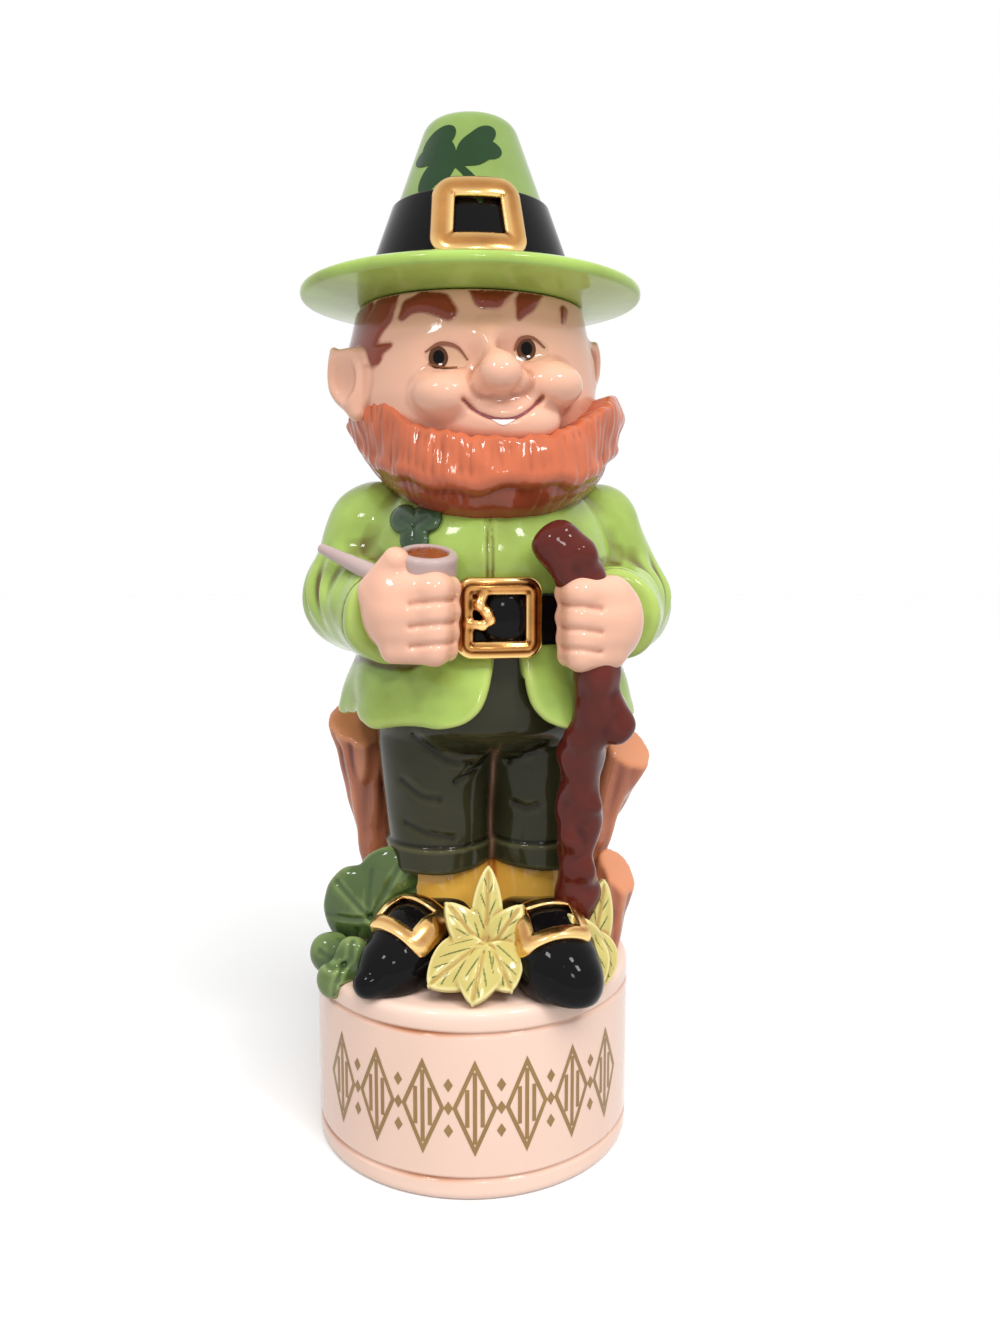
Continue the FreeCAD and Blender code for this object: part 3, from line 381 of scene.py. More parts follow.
def lathe(name, outline, material, nodes=None, body="vessel", paint=None):
    """A closed (radius, height) outline, listed so that the outside is on its right, turned about Z."""
    segments = 192
    rim = np.array(outline, float)
    angles = np.linspace(0, 2 * math.pi, segments, endpoint=False)
    x = np.cos(angles)[:, None] * rim[None, :, 0]
    y = np.sin(angles)[:, None] * rim[None, :, 0]
    z = np.repeat(rim[None, :, 1], segments, axis=0)
    points = np.stack([x, y, z], axis=-1).reshape(-1, 3)
    attributes = {} if paint is None else {"paint": paint(points)}
    faces = strips(segments, len(rim), True, True)
    new_object(name, body, points, faces, material, nodes or [name], **attributes)


def round_corners(outline, radius, steps=5):
    """An outline with each corner cut to a curve of about that radius, except where it meets the axis."""
    pts = np.array(outline, float)
    result = []
    for before, at, after in zip(np.roll(pts, 1, 0), pts, np.roll(pts, -1, 0)):
        if at[0] <= NEAR_AXIS:
            result.append(at)
            continue
        back, on = before - at, after - at
        reach = min(radius, CORNER_SHARE * np.linalg.norm(back), CORNER_SHARE * np.linalg.norm(on))
        start, end = at + unit(back) * reach, at + unit(on) * reach
        for t in np.linspace(0, 1, steps):
            result.append((1 - t) ** 2 * start + 2 * t * (1 - t) * at + t**2 * end)
    return np.array(result)


# Painted marks, laid on a shape from the front


def settle(x, z, field, layer):
    """Slides points along +Y on to a shape, then lifts them by a hair for each layer of paint."""
    start, slides = -75, 70
    points = np.stack([x.ravel(), np.full(x.size, start), z.ravel()], axis=-1)
    for _ in range(slides):
        points[:, 1] += np.clip(field(points) * 0.7, -2, 12)
    normal = slope(field, points)
    return points + normal / np.maximum(length(normal), TINY)[:, None] * PAINT_LIFT * layer


def spot(name, field, centre, radii, tilt, material, body="vessel", layer=1):
    """A painted oval, in (x, z), tilted by some degrees."""
    rings, around = 7, 36
    angles = np.linspace(0, 2 * math.pi, around, endpoint=False)
    out, angle = np.meshgrid(np.linspace(0.02, 1, rings), angles)
    u, v = radii[0] * out * np.cos(angle), radii[1] * out * np.sin(angle)
    c, s = math.cos(math.radians(tilt)), math.sin(math.radians(tilt))
    points = settle(centre[0] + u * c - v * s, centre[1] + u * s + v * c, field, layer)
    faces = [(i, m, k, j) for i, j, k, m in strips(around, rings, True, False)]
    faces.append([i * rings for i in range(around)][::-1])
    new_object(name, body, points, faces, material)


def stroke(name, field, points, material, body="vessel", layer=1):
    """A brush stroke through (x, z, half width) points."""
    curve = smooth_curve(points, 10 * len(points))
    along = np.gradient(curve[:, :2], axis=0)
    along /= np.maximum(length(along), TINY)[:, None]
    across = np.stack([-along[:, 1], along[:, 0]], axis=1)
    lanes = np.linspace(-1, 1, 7)
    x = curve[:, None, 0] + across[:, None, 0] * curve[:, None, 2] * lanes
    z = curve[:, None, 1] + across[:, None, 1] * curve[:, None, 2] * lanes
    faces = strips(len(curve), len(lanes), False, False)
    new_object(name, body, settle(x, z, field, layer), faces, material)


# Materials

RIPPLE_STRENGTH = 0.045
RIPPLE_HEIGHT = 0.001
SHADE_SHARE = 0.4


def linear(colour):
    """A colour given as it looks, 0 to 255, as linear light with full cover."""
    light = [((c / 255 + 0.055) / 1.055) ** 2.4 if c > 10 else c / 255 / 12.92 for c in colour]
    return (*light, 1)


def feed(socket, value):
    """Links a node's input to another node's output, or sets it to a value."""
    if isinstance(value, bpy.types.NodeSocket):
        socket.id_data.links.new(value, socket)
    else:
        socket.default_value = value


def set_inputs(node, **values):
    """Feeds a node's inputs by name, with _ for each space."""
    for key, value in values.items():
        feed(node.inputs[key.replace("_", " ")], value)


def nodes_of(owner):
    """The shader nodes of a material or world."""
    owner.use_nodes = True
    return owner.node_tree.nodes


def add_node(nodes, kind, **values):
    node = nodes.new("ShaderNode" + kind)
    set_inputs(node, **values)
    return node


def mixed(nodes, factor, first, other):
    """A node's output that goes from one colour to another."""
    mix = add_node(nodes, "Mix", Factor=factor)
    mix.data_type = "RGBA"
    for name, value in (("A", first), ("B", other)):
        feed([i for i in mix.inputs if i.name == name and i.type == "RGBA"][0], value)
    return [o for o in mix.outputs if o.type == "RGBA"][0]


def glaze(name, base, deep, second=None, thin=None, rough=0.1, mottle=0.35, scale=90, stretch=(1, 1, 1),
          metal=0, gloss=0.4):
    """Glossy glaze, brushed unevenly, thin on edges, darker in creases from pooled glaze and painted shade,
    with a second colour painted on.
    """
    material = bpy.data.materials.new(name)
    nodes = nodes_of(material)
    place = add_node(nodes, "TexCoord")
    mapping = add_node(nodes, "Mapping", Vector=place.outputs["Object"], Scale=stretch)
    noise = add_node(nodes, "TexNoise", Vector=mapping.outputs["Vector"], Scale=scale, Detail=4)
    grain = noise.outputs["Fac"]
    soften = add_node(nodes, "MapRange", Value=grain, From_Min=0.35, From_Max=0.75, To_Max=mottle)
    shade = tuple((1 - SHADE_SHARE) * b + SHADE_SHARE * d for b, d in zip(linear(base), linear(deep)))
    colour = mixed(nodes, soften.outputs["Result"], linear(base), shade)
    for attribute, tint in (("edge", thin), ("pool_and_shade", deep), ("paint", second)):
        if tint is not None:
            amount = add_node(nodes, "Attribute")
            amount.attribute_name = attribute
            colour = mixed(nodes, amount.outputs["Fac"], colour, linear(tint))
    ripple = add_node(nodes, "Bump", Height=grain, Strength=RIPPLE_STRENGTH, Distance=RIPPLE_HEIGHT)
    set_inputs(nodes["Principled BSDF"], Base_Color=colour, Normal=ripple.outputs["Normal"], Roughness=rough,
               Metallic=metal, Specular_IOR_Level=gloss)
    return material


GREEN = glaze("green_glaze", (175, 207, 101), (106, 94, 38), thin=(190, 206, 112), mottle=1, scale=55,
              gloss=0.3)
# The crown's glaze is a darker green than the brim's, as painted shade.
CROWN_GREEN_PAINTED_SHADE = glaze("crown_green_painted_shade", (140, 170, 87), (90, 90, 38), mottle=0.8, scale=42)
SKIN = glaze("skin_glaze", (242, 187, 160), (172, 96, 66), second=(142, 58, 36), mottle=0.12)
# The second colour is painted shade under the beard's ridge.
RUSSET = glaze("russet_glaze", (212, 112, 74), (122, 50, 28), second=(130, 54, 34), mottle=0.9, scale=110,
               stretch=(1, 1, 0.35))
BLACK = glaze("black_glaze", (14, 12, 14), (7, 7, 9), rough=0.05, mottle=0.4, gloss=0.12)
# The gold's dark creases, bright edges and strong mottle are painted reflections.
GOLD_PAINTED_REFLECTIONS = glaze("gold_lustre", (204, 146, 84), (92, 52, 22), thin=(246, 206, 138), rough=0.2, mottle=1, scale=110,
             metal=1)
OLIVE = glaze("olive_glaze", (58, 57, 37), (28, 28, 16), second=(156, 122, 96), thin=(96, 92, 60), mottle=0.7,
              scale=60, stretch=(0.4, 1, 1.6), gloss=0.2)
YELLOW = glaze("yellow_glaze", (244, 190, 82), (216, 144, 48), mottle=0.4)
CREAM = glaze("cream_glaze", (249, 216, 198), (196, 140, 104), second=(190, 122, 82), mottle=0.15, scale=40)
MAROON = glaze("maroon_glaze", (100, 38, 30), (46, 12, 12), rough=0.05, mottle=0.6, scale=60, gloss=0.2)
BARK = glaze("bark_glaze", (192, 114, 82), (118, 54, 34), second=(232, 152, 108), thin=(222, 146, 108),
             mottle=0.6, stretch=(1, 1, 0.4))
LEAF = glaze("leaf_glaze", (86, 108, 56), (48, 72, 40), thin=(136, 156, 92), mottle=1, scale=45)
DARK_LEAF = glaze("dark_leaf_glaze", (50, 76, 46), (26, 42, 24), thin=(62, 90, 56), mottle=0.8)
PALE_LEAF = glaze("pale_leaf_glaze", (206, 194, 114), (184, 150, 80), second=(76, 92, 36), thin=(230, 216, 150),
                  mottle=0.9, scale=60)
PIPE = glaze("pipe_glaze", (196, 172, 168), (146, 112, 108), second=(146, 76, 40), mottle=0.4)
CORK = glaze("cork", (186, 142, 92), (120, 80, 46), rough=0.8, mottle=0.9, scale=400)
DARK_LINE = glaze("line_paint", (146, 86, 58), (92, 52, 36), mottle=0.4)
IRIS = glaze("iris_paint", (96, 58, 36), (44, 26, 18), mottle=0.6, gloss=0.2)
PUPIL = glaze("pupil_paint", (14, 12, 12), (6, 6, 6), rough=0.05, gloss=0.1)
EYE_WHITE = glaze("eye_white_paint", (226, 178, 146), (190, 140, 110), mottle=0.2)
LIP = glaze("lip_paint", (150, 76, 84), (108, 52, 62), mottle=0.3)
# This also paints the glints in the eyes, which are painted highlights.
TOOTH_AND_GLINT = glaze("tooth_and_glint_paint", (250, 244, 240), (224, 214, 208), mottle=0.1)
CLOVER_PAINT = glaze("clover_paint", (36, 66, 36), (20, 40, 22), mottle=0.7, scale=120, gloss=0.2)
GILT = glaze("gilt_paint", (158, 124, 76), (112, 84, 48), rough=0.25, mottle=0.6, scale=200)


# Drum with its grooves

GROOVES = (6.4, 48.4)
GROOVE_HALF = 0.8
GROOVE_DEPTH = 0.9
STAIN_WIDTH = 0.9
DRUM_ROUNDING = 3.2
drum_outline = [(AXIS_RADIUS, 0), (NEAR_AXIS, 0), (DRUM_RADIUS, 0)]
for height in GROOVES:
    drum_outline += [
        (DRUM_RADIUS, height - GROOVE_HALF),
        (DRUM_RADIUS - GROOVE_DEPTH, height),
        (DRUM_RADIUS, height + GROOVE_HALF),
    ]
drum_outline += [(DRUM_RADIUS, DRUM_TOP), (NEAR_AXIS, DRUM_TOP), (AXIS_RADIUS, DRUM_TOP)]


def groove_stain(points):
    """Brown glaze caught in the grooves, more in some places than in others."""
    stain = sum(hump(points[:, 2] - height, STAIN_WIDTH) for height in GROOVES)
    return stain * (0.55 + 0.4 * lumps(points * (1, 1, 0.2), 30, 21))


lathe("drum", round_corners(drum_outline, DRUM_ROUNDING, 7), CREAM, ["base_drum"], paint=groove_stain)


# Gilt ornament on the drum, in sizes across and up

LOZENGE_HALF = np.array([6.2, 14])
LOZENGE_INSIDE = LOZENGE_HALF - np.array([1.265, 2.76])
LOZENGE_HEIGHT = 27.4
LOZENGE_COUNT = 7
LOZENGE_PITCH = 14.6
STRIPES = (-2.1, 0, 2.1)
STRIPE_HALF_WIDTH = 0.575
STRIPE_ROOM = (4.4, 10.4)
DIAMOND_RISES = (-6.6, 0, 6.6)
DIAMOND_HALF = (1.3, 2)
ORNAMENT_TURN = math.radians(2)
CORNERS = np.array([(1, 0), (0, 1), (-1, 0), (0, -1)])
SQUARE = np.array([(-1, -1), (1, -1), (1, 1), (-1, 1)])


def lozenge(centre):
    """Short quads along the four sides of one lozenge."""
    quads = []
    along = np.linspace(0, 1, 9)
    for a, b in zip(CORNERS, np.roll(CORNERS, -1, 0)):
        for t0, t1 in zip(along, along[1:]):
            ring = ((t0, LOZENGE_HALF), (t1, LOZENGE_HALF), (t1, LOZENGE_INSIDE), (t0, LOZENGE_INSIDE))
            quads.append([centre + (a + (b - a) * t) * half for t, half in ring])
    return quads


def gilt_ornament():
    """A row of striped lozenges with small diamonds between them, laid round the drum's front."""
    quads = []
    for index in range(LOZENGE_COUNT):
        centre = np.array([(index - (LOZENGE_COUNT - 1) / 2) * LOZENGE_PITCH, LOZENGE_HEIGHT])
        quads += lozenge(centre)
        for stripe in STRIPES:
            reach = (1 - abs(stripe) / STRIPE_ROOM[0]) * STRIPE_ROOM[1]
            quads.append(centre + (stripe, 0) + SQUARE * (STRIPE_HALF_WIDTH, reach))
        if index:
            quads += [centre + (-LOZENGE_PITCH / 2, rise) + CORNERS * DIAMOND_HALF for rise in DIAMOND_RISES]
    flat = np.array(quads).reshape(-1, 2)
    angle = flat[:, 0] / DRUM_RADIUS + ORNAMENT_TURN
    radius = DRUM_RADIUS + PAINT_LIFT
    points = np.stack([radius * np.sin(angle), -radius * np.cos(angle), flat[:, 1]], axis=1)
    new_object("gilt_ornament", "vessel", points, np.arange(len(points)).reshape(-1, 4), GILT)


gilt_ornament()


# Head

HEAD_SIDE = [(22, 200), (32.5, 209), (36, 218), (36.5, 224), (36, 232), (34, 240), (32.5, SEAT)]
MOUTH = [(-1, 217.6), (2.2, 215), (5.4, 213.4), (9, 212.7), (12.6, 213.2), (16, 215.2), (19.6, 218.8)]
CHIN = ((9.5, -29.5, 212.5), (15, 8.5, 7.5))
NOSE_BRIDGE = ((6.6, -33.6, 233), (8.6, -38.4, 226), 3, 4.4)
NOSE = ((8.6, -39.8, 224.2), (5.3, 5, 4.5))
NOSE_WINGS = ((4.4, -36.8, 222.6), (13.2, -35.8, 223.2))
NOSE_WING_RADIUS = 2.8
EYE_HOLLOWS = ((-5.2, -39, 228.9), (16.2, -35.8, 231.2))
EYE_HOLLOW_RADII = (8, 4, 4.4)
CHEEKS = ((-6, -32.4, 219.6), (21.8, -28, 222.6))
CHEEK_RADII = (9, 8.6, 6.6)
# Radius and floor of the hollow under the mouth and of the mouth ring's seat
HOLES = ((13.2, 204), (18.3, 243.8))


def ear(p, centre, out, size):
    """A flap that stands out in a level direction, pointed above and hollowed on its front."""
    out = np.array([*out, 0])
    face = np.array([out[1], -out[0], 0])
    face = face if face[1] < 0 else -face
    axes = [out, face, (0, 0, 1)]
    centre = np.array(centre, float)
    flap = ellipsoid(p, centre, np.array([8.2, 2.8, 8.6]) * size, axes)
    tip = centre + out * 6.4 * size + (0, 0, 8.2 * size)
    point = limb(p, centre + out * 2 * size, tip, 4.0 * size, 0.9 * size)
    lobe = limb(p, centre, centre - out * 2.5 * size - (0, 0, 9.5 * size), 4.0 * size, 2.4 * size)
    cup = ellipsoid(p, centre + face * 3.0 * size + out * 0.8, np.array([5, 2.6, 6.6]) * size, axes)
    return carve(joined([flap, point, lobe], 4), cup, 1.6)


def ears(p):
    right = ear(p, (-32.8, -19.6, 225.6), (-0.81, 0.59), 0.98)
    left = ear(p, (32.6, -6, 231), (0.66, 0.75), 0.8)
    return np.minimum(right, left)


# Brows and locks as (x, z, half width) points
HAIR_MARKS = (
    [(-17.6, 240.2, 0.9), (-15.6, 243, 2), (-11.6, 244, 2.7), (-7.2, 242.8, 3), (-5, 240.8, 2.4)],
    [(1.8, 247.5, 2), (4.2, 244.4, 2.4), (7.4, 244.4, 2.6), (10.4, 247.5, 2)],
    [(17.4, 247.5, 3), (15.2, 243.6, 2.6), (13.6, 239.8, 0.7)],
    [(25.8, 243.8, 1.1), (25.4, 240, 0.7)],
    [(-20.6, 247.5, 2.6), (-24.4, 241.5, 4), (-28.6, 237.4, 5), (-29.4, 232.6, 4.6), (-25.8, 230.6, 2.8)],
    [(-26, 231.8, 2.4), (-20.8, 233, 0.8)],
    [(-32, 246, 6), (-36, 237, 6), (-33, 231, 3)],
)
LOCK_RELIEF = 0.55
HAIR_TOP = SEAT - 0.5


def lock_distance(p):
    """Distance from the brows and locks, as seen from the front."""
    flat = p * (1, 0, 1)
    d = np.full(len(p), FAR)
    for mark in HAIR_MARKS:
        d = np.minimum(d, chain(flat, [(x, 0, z, radius) for x, z, radius in mark], 0.6))
    return d


def head_field(p):
    d = turned(p, HEAD_SIDE, 1)
    locks = step(lock_distance(p), 0.2, -1.6) * step(p[:, 1], 8, 0) * step(p[:, 2], HAIR_TOP, SEAT - 2.5)
    d = d - LOCK_RELIEF * locks
    d = blend(d, ellipsoid(p, *CHIN), 6)
    d = blend(d, limb(p, *NOSE_BRIDGE), 5)
    for hollow in EYE_HOLLOWS:
        d = carve(d, ellipsoid(p, hollow, EYE_HOLLOW_RADII), 5)
    for cheek in CHEEKS:
        d = blend(d, ellipsoid(p, cheek, CHEEK_RADII), 2)
    d = blend(d, ellipsoid(p, *NOSE), 3)
    for wing in NOSE_WINGS:
        d = blend(d, ball(p, wing, NOSE_WING_RADIUS), 2)
    d = blend(d, ears(p), 1.6)
    d = crease(p, d, MOUTH, 0.8, 0.7)
    for radius, floor in HOLES:
        d = np.maximum(d, -np.maximum(off_axis(p) - radius, floor - p[:, 2]))
    return d


def painted_hair(points):
    """Brows and locks brushed on from the front, and hair round the back of the head."""
    front = step(lock_distance(points) + 0.25 * lumps(points, 9, 8), 0.35, -0.35) * (points[:, 1] < 12)
    edge = figure(points)[:, 1] + 2.5 * lumps(points, 9, 1)
    behind = step(edge, 6, 8) * step(points[:, 2], 206, 210) * (off_axis(points) < 40)
    return np.maximum(front, behind) * step(ears(points), 0.6, 1.2) * (points[:, 2] < HAIR_TOP)


carved("head", head_field, (-46, -50, 199), (44, 40, 248), SKIN, size=0.53, paint=painted_hair, pooling_and_shade=1.3)

spot("eye_white_right", head_field, (-5.2, 228.9), (6, 2.9), -8, EYE_WHITE)
spot("eye_white_left", head_field, (16.6, 231.4), (5, 3), 10, EYE_WHITE)
# Each eye has an iris, a pupil and a glint, the glint a painted highlight in the tooth colour.
for side, x, z in (("right", -7.7, 228.9), ("left", 15.4, 231.6)):
    spot(f"iris_{side}", head_field, (x, z), (2.6, 3), 0, IRIS, layer=2)
    spot(f"pupil_{side}", head_field, (x + 0.1, z + 0.2), (1.5, 1.8), 0, PUPIL, layer=3)
    spot(f"glint_{side}", head_field, (x + 0.6, z - 1.9), (0.5, 0.35), 0, TOOTH_AND_GLINT, layer=4)
for name, points in (
    ("lid_right", [(-11.2, 230.4, 0.2), (-7.2, 232.5, 0.5), (-2.8, 231.7, 0.4), (0.2, 228.2, 0.2)]),
    ("lid_left", [(12.2, 231.2, 0.3), (13.8, 234.2, 0.5), (17.2, 234.6, 0.4), (20.4, 232.2, 0.2)]),
    ("under_lid_right", [(-10.4, 227.4, 0.15), (-6.4, 226, 0.3), (-2.6, 226.2, 0.15)]),
):
    stroke(name, head_field, points, DARK_LINE, layer=4)
LIP_WIDTHS = (0.2, 0.35, 0.45, 0.5, 0.45, 0.35, 0.2)
stroke("mouth_line", head_field, [(x, z, width) for (x, z), width in zip(MOUTH, LIP_WIDTHS)], LIP)
stroke("teeth", head_field, [(6.4, 212.6, 0.1), (9.4, 212, 0.7), (12.4, 212.6, 0.1)], TOOTH_AND_GLINT, layer=2)


# Beard

BEARD_AXIS = (4.2, 0.4)
BEARD_LOWEST = (7, 185.4)
BEARD_BOWL = 0.0115
BEARD_BACK = 9.0
# Height of the upper edge by angle, then radius by height ahead and at the sides
BEARD_TOP = [(-110, 212), (-80, 216), (-62, 219.5), (-50, 219.5), (-37, 213), (-24, 210), (-6, 207.6), (8, 207),
             (20, 208), (33, 211), (46, 215), (56, 218), (66, 222), (78, 223), (110, 218)]
BEARD_FRONT = [(184, 29), (186.5, 34.4), (190, 38.4), (195, 41.6), (200, 42.8), (206, 41.6), (212, 39.6),
               (222, 37)]
BEARD_SIDE = [(184, 22), (188, 28), (194, 33.2), (201, 35.6), (208, 38.2), (215, 40.4), (219, 40.2),
              (224, 38)]


def beard_angle(p):
    """Degrees round the head from straight ahead, towards the figure's left."""
    return np.degrees(np.arctan2(p[:, 0], -p[:, 1])) - math.degrees(FIGURE_TURN)


def beard_ridge(angle):
    """Height of the ridge where the beard turns under."""
    waves = 0.8 * np.sin(np.radians(angle * 7)) + 0.5 * np.sin(np.radians(angle * 19))
    return 195.6 + 9.0 * (angle / 70) ** 2 + waves


def beard_field(p):
    x, y, z = p.T
    angle = beard_angle(p)
    flow = np.stack([np.radians(angle) * 40, 0.16 * z, 0 * angle], axis=1)
    strands = 0.55 * lumps(flow, 4.6, 9) + 0.3 * lumps(flow, 2.2, 10)
    front = np.interp(z, *smooth_curve(BEARD_FRONT, 80).T)
    flank = np.interp(z, *smooth_curve(BEARD_SIDE, 80).T)
    share = step(np.abs(angle), 15, 80)
    away = np.hypot(x - BEARD_AXIS[0], y - BEARD_AXIS[1])
    d = (away - front * (1 - share) - flank * share) * 0.85
    ridge = beard_ridge(angle)
    d = d + 0.9 * step(ridge - z, 0, 2.4) - 0.5 * hump(z - ridge - 1.4, 2)
    d = d + 0.3 * strands + 0.3 * lumps(p, 8, 24)
    top = np.interp(angle, *np.array(BEARD_TOP).T) + 0.5 * lumps(flow, 4, 11) + 0.3 * (away - 36)
    d = both(d, z - top, 2.4)
    bowl = BEARD_LOWEST[1] + BEARD_BOWL * (x - BEARD_LOWEST[0]) ** 2
    d = both(d, bowl - z, 5)
    return both(d, figure(p)[:, 1] - BEARD_BACK, 2)


def beard_underside_painted_shade(points):
    """Painted shade: the beard's underside below the ridge is painted darker."""
    return 0.75 * step(beard_ridge(beard_angle(points)) - points[:, 2], -0.5, 1.5)


carved("beard", beard_field, (-40, -46, 184), (49, 21, 229), RUSSET, paint=beard_underside_painted_shade, pooling_and_shade=1.3)


# Jacket with its sleeves

JACKET_SIDE = [(44.6, HEM), (41.8, 141), (38.6, 150), (37.3, 160), (38, 169), (38.4, 178), (35, 187),
               (29, 194), (23.5, 200)]
# Height, right edge and left edge of the opening below the belt
SPLIT = [(129, -24, 19), (131.5, -14.5, 12), (134, -9.8, 8.6), (138, -6.6, 6), (145, -4.2, 4.3),
         (153, -2.6, 3.2)]
ELBOWS = {1: (40.5, -2, 161.5), -1: (-39, -2, 164.5)}
PLACKET = (-5.2, -4)


def sleeve(p, side):
    """One bent arm in the figure's frame, cut square at the cuff."""
    shoulder = (side * 32.4, 1, 183)
    elbow = np.array(ELBOWS[side])
    wrist = np.array([side * 31, -33, 160.5])
    forearm = np.linalg.norm(wrist - elbow)
    arm = blend(limb(p, shoulder, elbow, 15.4, 14.8), limb(p, elbow, wrist, 14.8, 12.6), 5)
    reach = (p - elbow) @ unit(wrist - elbow)
    near_elbow = hump(p[:, 2] - 168, 8) * hump(reach - 6, 12)
    arm = arm + 0.8 * near_elbow * np.sin(reach * 0.75 + p[:, 2] * 0.35) + 0.3 * lumps(p, 13, 22)
    arm = arm + 0.35 * hump(reach - forearm + 3, 0.9)
    return both(arm, reach - forearm - 1.5, 2.5)


def jacket_field(p):
    q = figure(p)
    x, y, z = q.T
    folds = 0.8 * step(z, 150, 134) * np.sin(np.arctan2(x, -y) * 9 + 0.6)
    d = turned(q, JACKET_SIDE, 3) + folds - 0.35 * lumps(p, 20, 2) - 0.12 * lumps(p, 9, 12)
    for line in PLACKET:
        d = d + 0.35 * hump(x - line, 0.55) * step(y, -20, -26) * step(z, 167, 170)
    heights, right, left = smooth_curve(SPLIT, 60).T
    between = np.maximum(np.interp(z, heights, right) - x, x - np.interp(z, heights, left))
    d = carve(d, np.maximum(between, np.maximum(y + 15, z - 156)) * 0.8, 2.2)
    d = carve(d, np.maximum(off_axis(q) - 37.5, z - 143), 2)
    return joined([d, sleeve(q, -1), sleeve(q, 1)], 3)


carved("jacket", jacket_field, (-56, -50, 128), (66, 52, 203), GREEN, ["jacket", "right_sleeve", "left_sleeve"],
       size=0.75, pooling_and_shade=3.4)


# Belt and buckle

BELT_HEIGHT = 160.0
BELT_HALF_WIDTH = 7.0
BUCKLE_HEIGHT = 160.8
BUCKLE_BEND = 41.0
PRONG = [(-4.4, -0.6, 6.6, 1.5), (-5.6, -1, 3.6, 1.6), (-3.6, -1.4, 1.4, 1.5), (-2.6, -1.4, -0.4, 1.3),
         (-4.8, -1.3, -1.8, 1.4), (-8.6, -0.8, -1.4, 1.5)]


def belt_field(p):
    q = figure(p)
    waist = turned(q, JACKET_SIDE, 3)
    d = both(waist - 1.5, np.abs(q[:, 2] - BELT_HEIGHT) - BELT_HALF_WIDTH, 1.2)
    pillow = ellipsoid(q, (-0.6, -38.4, BUCKLE_HEIGHT), (6.8, 3.4, 7.8))
    return blend(np.maximum(d, -waist - 2.5), pillow, 1.5)


def frame_field(q, half_width, half_height, bar, corner):
    """A buckle's frame in the XZ plane, as a flattened tube round a rounded rectangle."""
    x, y, z = np.abs(q).T
    outside = beyond(x - (half_width - corner), z - (half_height - corner)) - corner
    return (np.abs(outside) ** 3 + (y * bar[0] / bar[1]) ** 3) ** (1 / 3) - bar[0]


def belt_buckle_field(p):
    q = figure(p) - np.array([-2.5, 0, BUCKLE_HEIGHT])
    bulge = 40.6 - BUCKLE_BEND * (1 - np.cos(np.clip(q[:, 0], -14, 14) / BUCKLE_BEND))
    q = np.stack([q[:, 0], q[:, 1] + bulge, q[:, 2]], axis=1)
    d = frame_field(q, 9.4, 8.5, (2.5, 1.9), 2)
    d = blend(d, frame_field(q + np.array([0, 0.5, 0]), 9, 8.1, (0.7, 1.6), 1.8), 0.6)
    return blend(d, chain(q, PRONG, 0.8), 0.8)


carved("belt", belt_field, (-38, -46, 151), (48, 46, 169), BLACK, size=0.7)
carved("belt_buckle", belt_buckle_field, (-6, -48, 147), (24, -28, 174), GOLD_PAINTED_REFLECTIONS, ["belt_buckle", "belt_prong"],
       size=0.4)


# Hands, pipe and stick

PALM_RADII = (10.6, 10.6, 12.2)
# Palm, knuckles, turn inwards and tips, fingers as (height, radius), heights of the gaps and a gap as (x, rise)
RIGHT_HAND = (
    (-17.8, -40, 163.2), (-19.4, -44.7), (-8.4, -47), (-5.4, -42.5),
    ((168.8, 4.3), (162.8, 4.2), (157.2, 3.8), (152.4, 3.2)),
    (165.8, 160, 154.8), ((-14.5, -0.6), (-10, 0), (-4, 0.3)),
)
LEFT_HAND = (
    (36.4, -37, 160.2), (38.2, -41.5), (29.4, -45.4), (26.6, -41),
    ((167.6, 4.3), (161.2, 4.1), (155.6, 3.8), (150.9, 3.3)),
    (164.6, 158.6, 153.4), ((25, 0.3), (30, 0), (34.5, -0.8)),
)
THUMB = ((-24, -40.5, 168), (-18.4, -45.2, 176.2), 5, 3.6)


def fist(p, hand):
    palm, knuckles, turn_in, tips, fingers, gaps, gap_line = hand
    d = ellipsoid(p, palm, PALM_RADII)
    for height, radius in fingers:
        finger = [(*knuckles, height, radius), (*turn_in, height, radius), (*tips, height, radius * 0.9)]
        d = blend(d, chain(p, finger, 2), 2.6)
    for height in gaps:
        d = crease(p, d, [(x, height + rise) for x, rise in gap_line], 0.9, 0.65)
    return d


def right_hand_field(p):
    return blend(fist(p, RIGHT_HAND), limb(p, *THUMB), 2.5)


def left_hand_field(p):
    return fist(p, LEFT_HAND)


PIPE_TOP = np.array([-10.4, -41.8, 178.4])
PIPE_AXIS = unit([0.06, -0.27, 0.96])
PIPE_STEM = ((-24, -38, 172), (-41, -22, 178.8), 2.8, 1.5)


def pipe_place(p):
    """Height above the bowl's rim and distance from its axis."""
    q = p - PIPE_TOP
    high = q @ PIPE_AXIS
    return high, length(q - high[:, None] * PIPE_AXIS)


def pipe_field(p):
    high, axis = pipe_place(p)
    bowl = both(axis - (8.2 + 0.04 * np.clip(high, -10, 0)), np.abs(high + 4.2) - 4.4, 2)
    bowl = carve(bowl, np.maximum(axis - 5.3, -1.6 - high), 1.4)
    tobacco = both(axis - 5.6, np.abs(high + 4) - 3.2, 1.5) - 0.35 * lumps(p, 3.5, 3)
    return np.minimum(np.minimum(bowl, tobacco), limb(p, *PIPE_STEM))


def tobacco_paint(points):
    high, axis = pipe_place(points)
    return step(axis, 5.9, 5.2) * step(high, -3.2, -2.2)


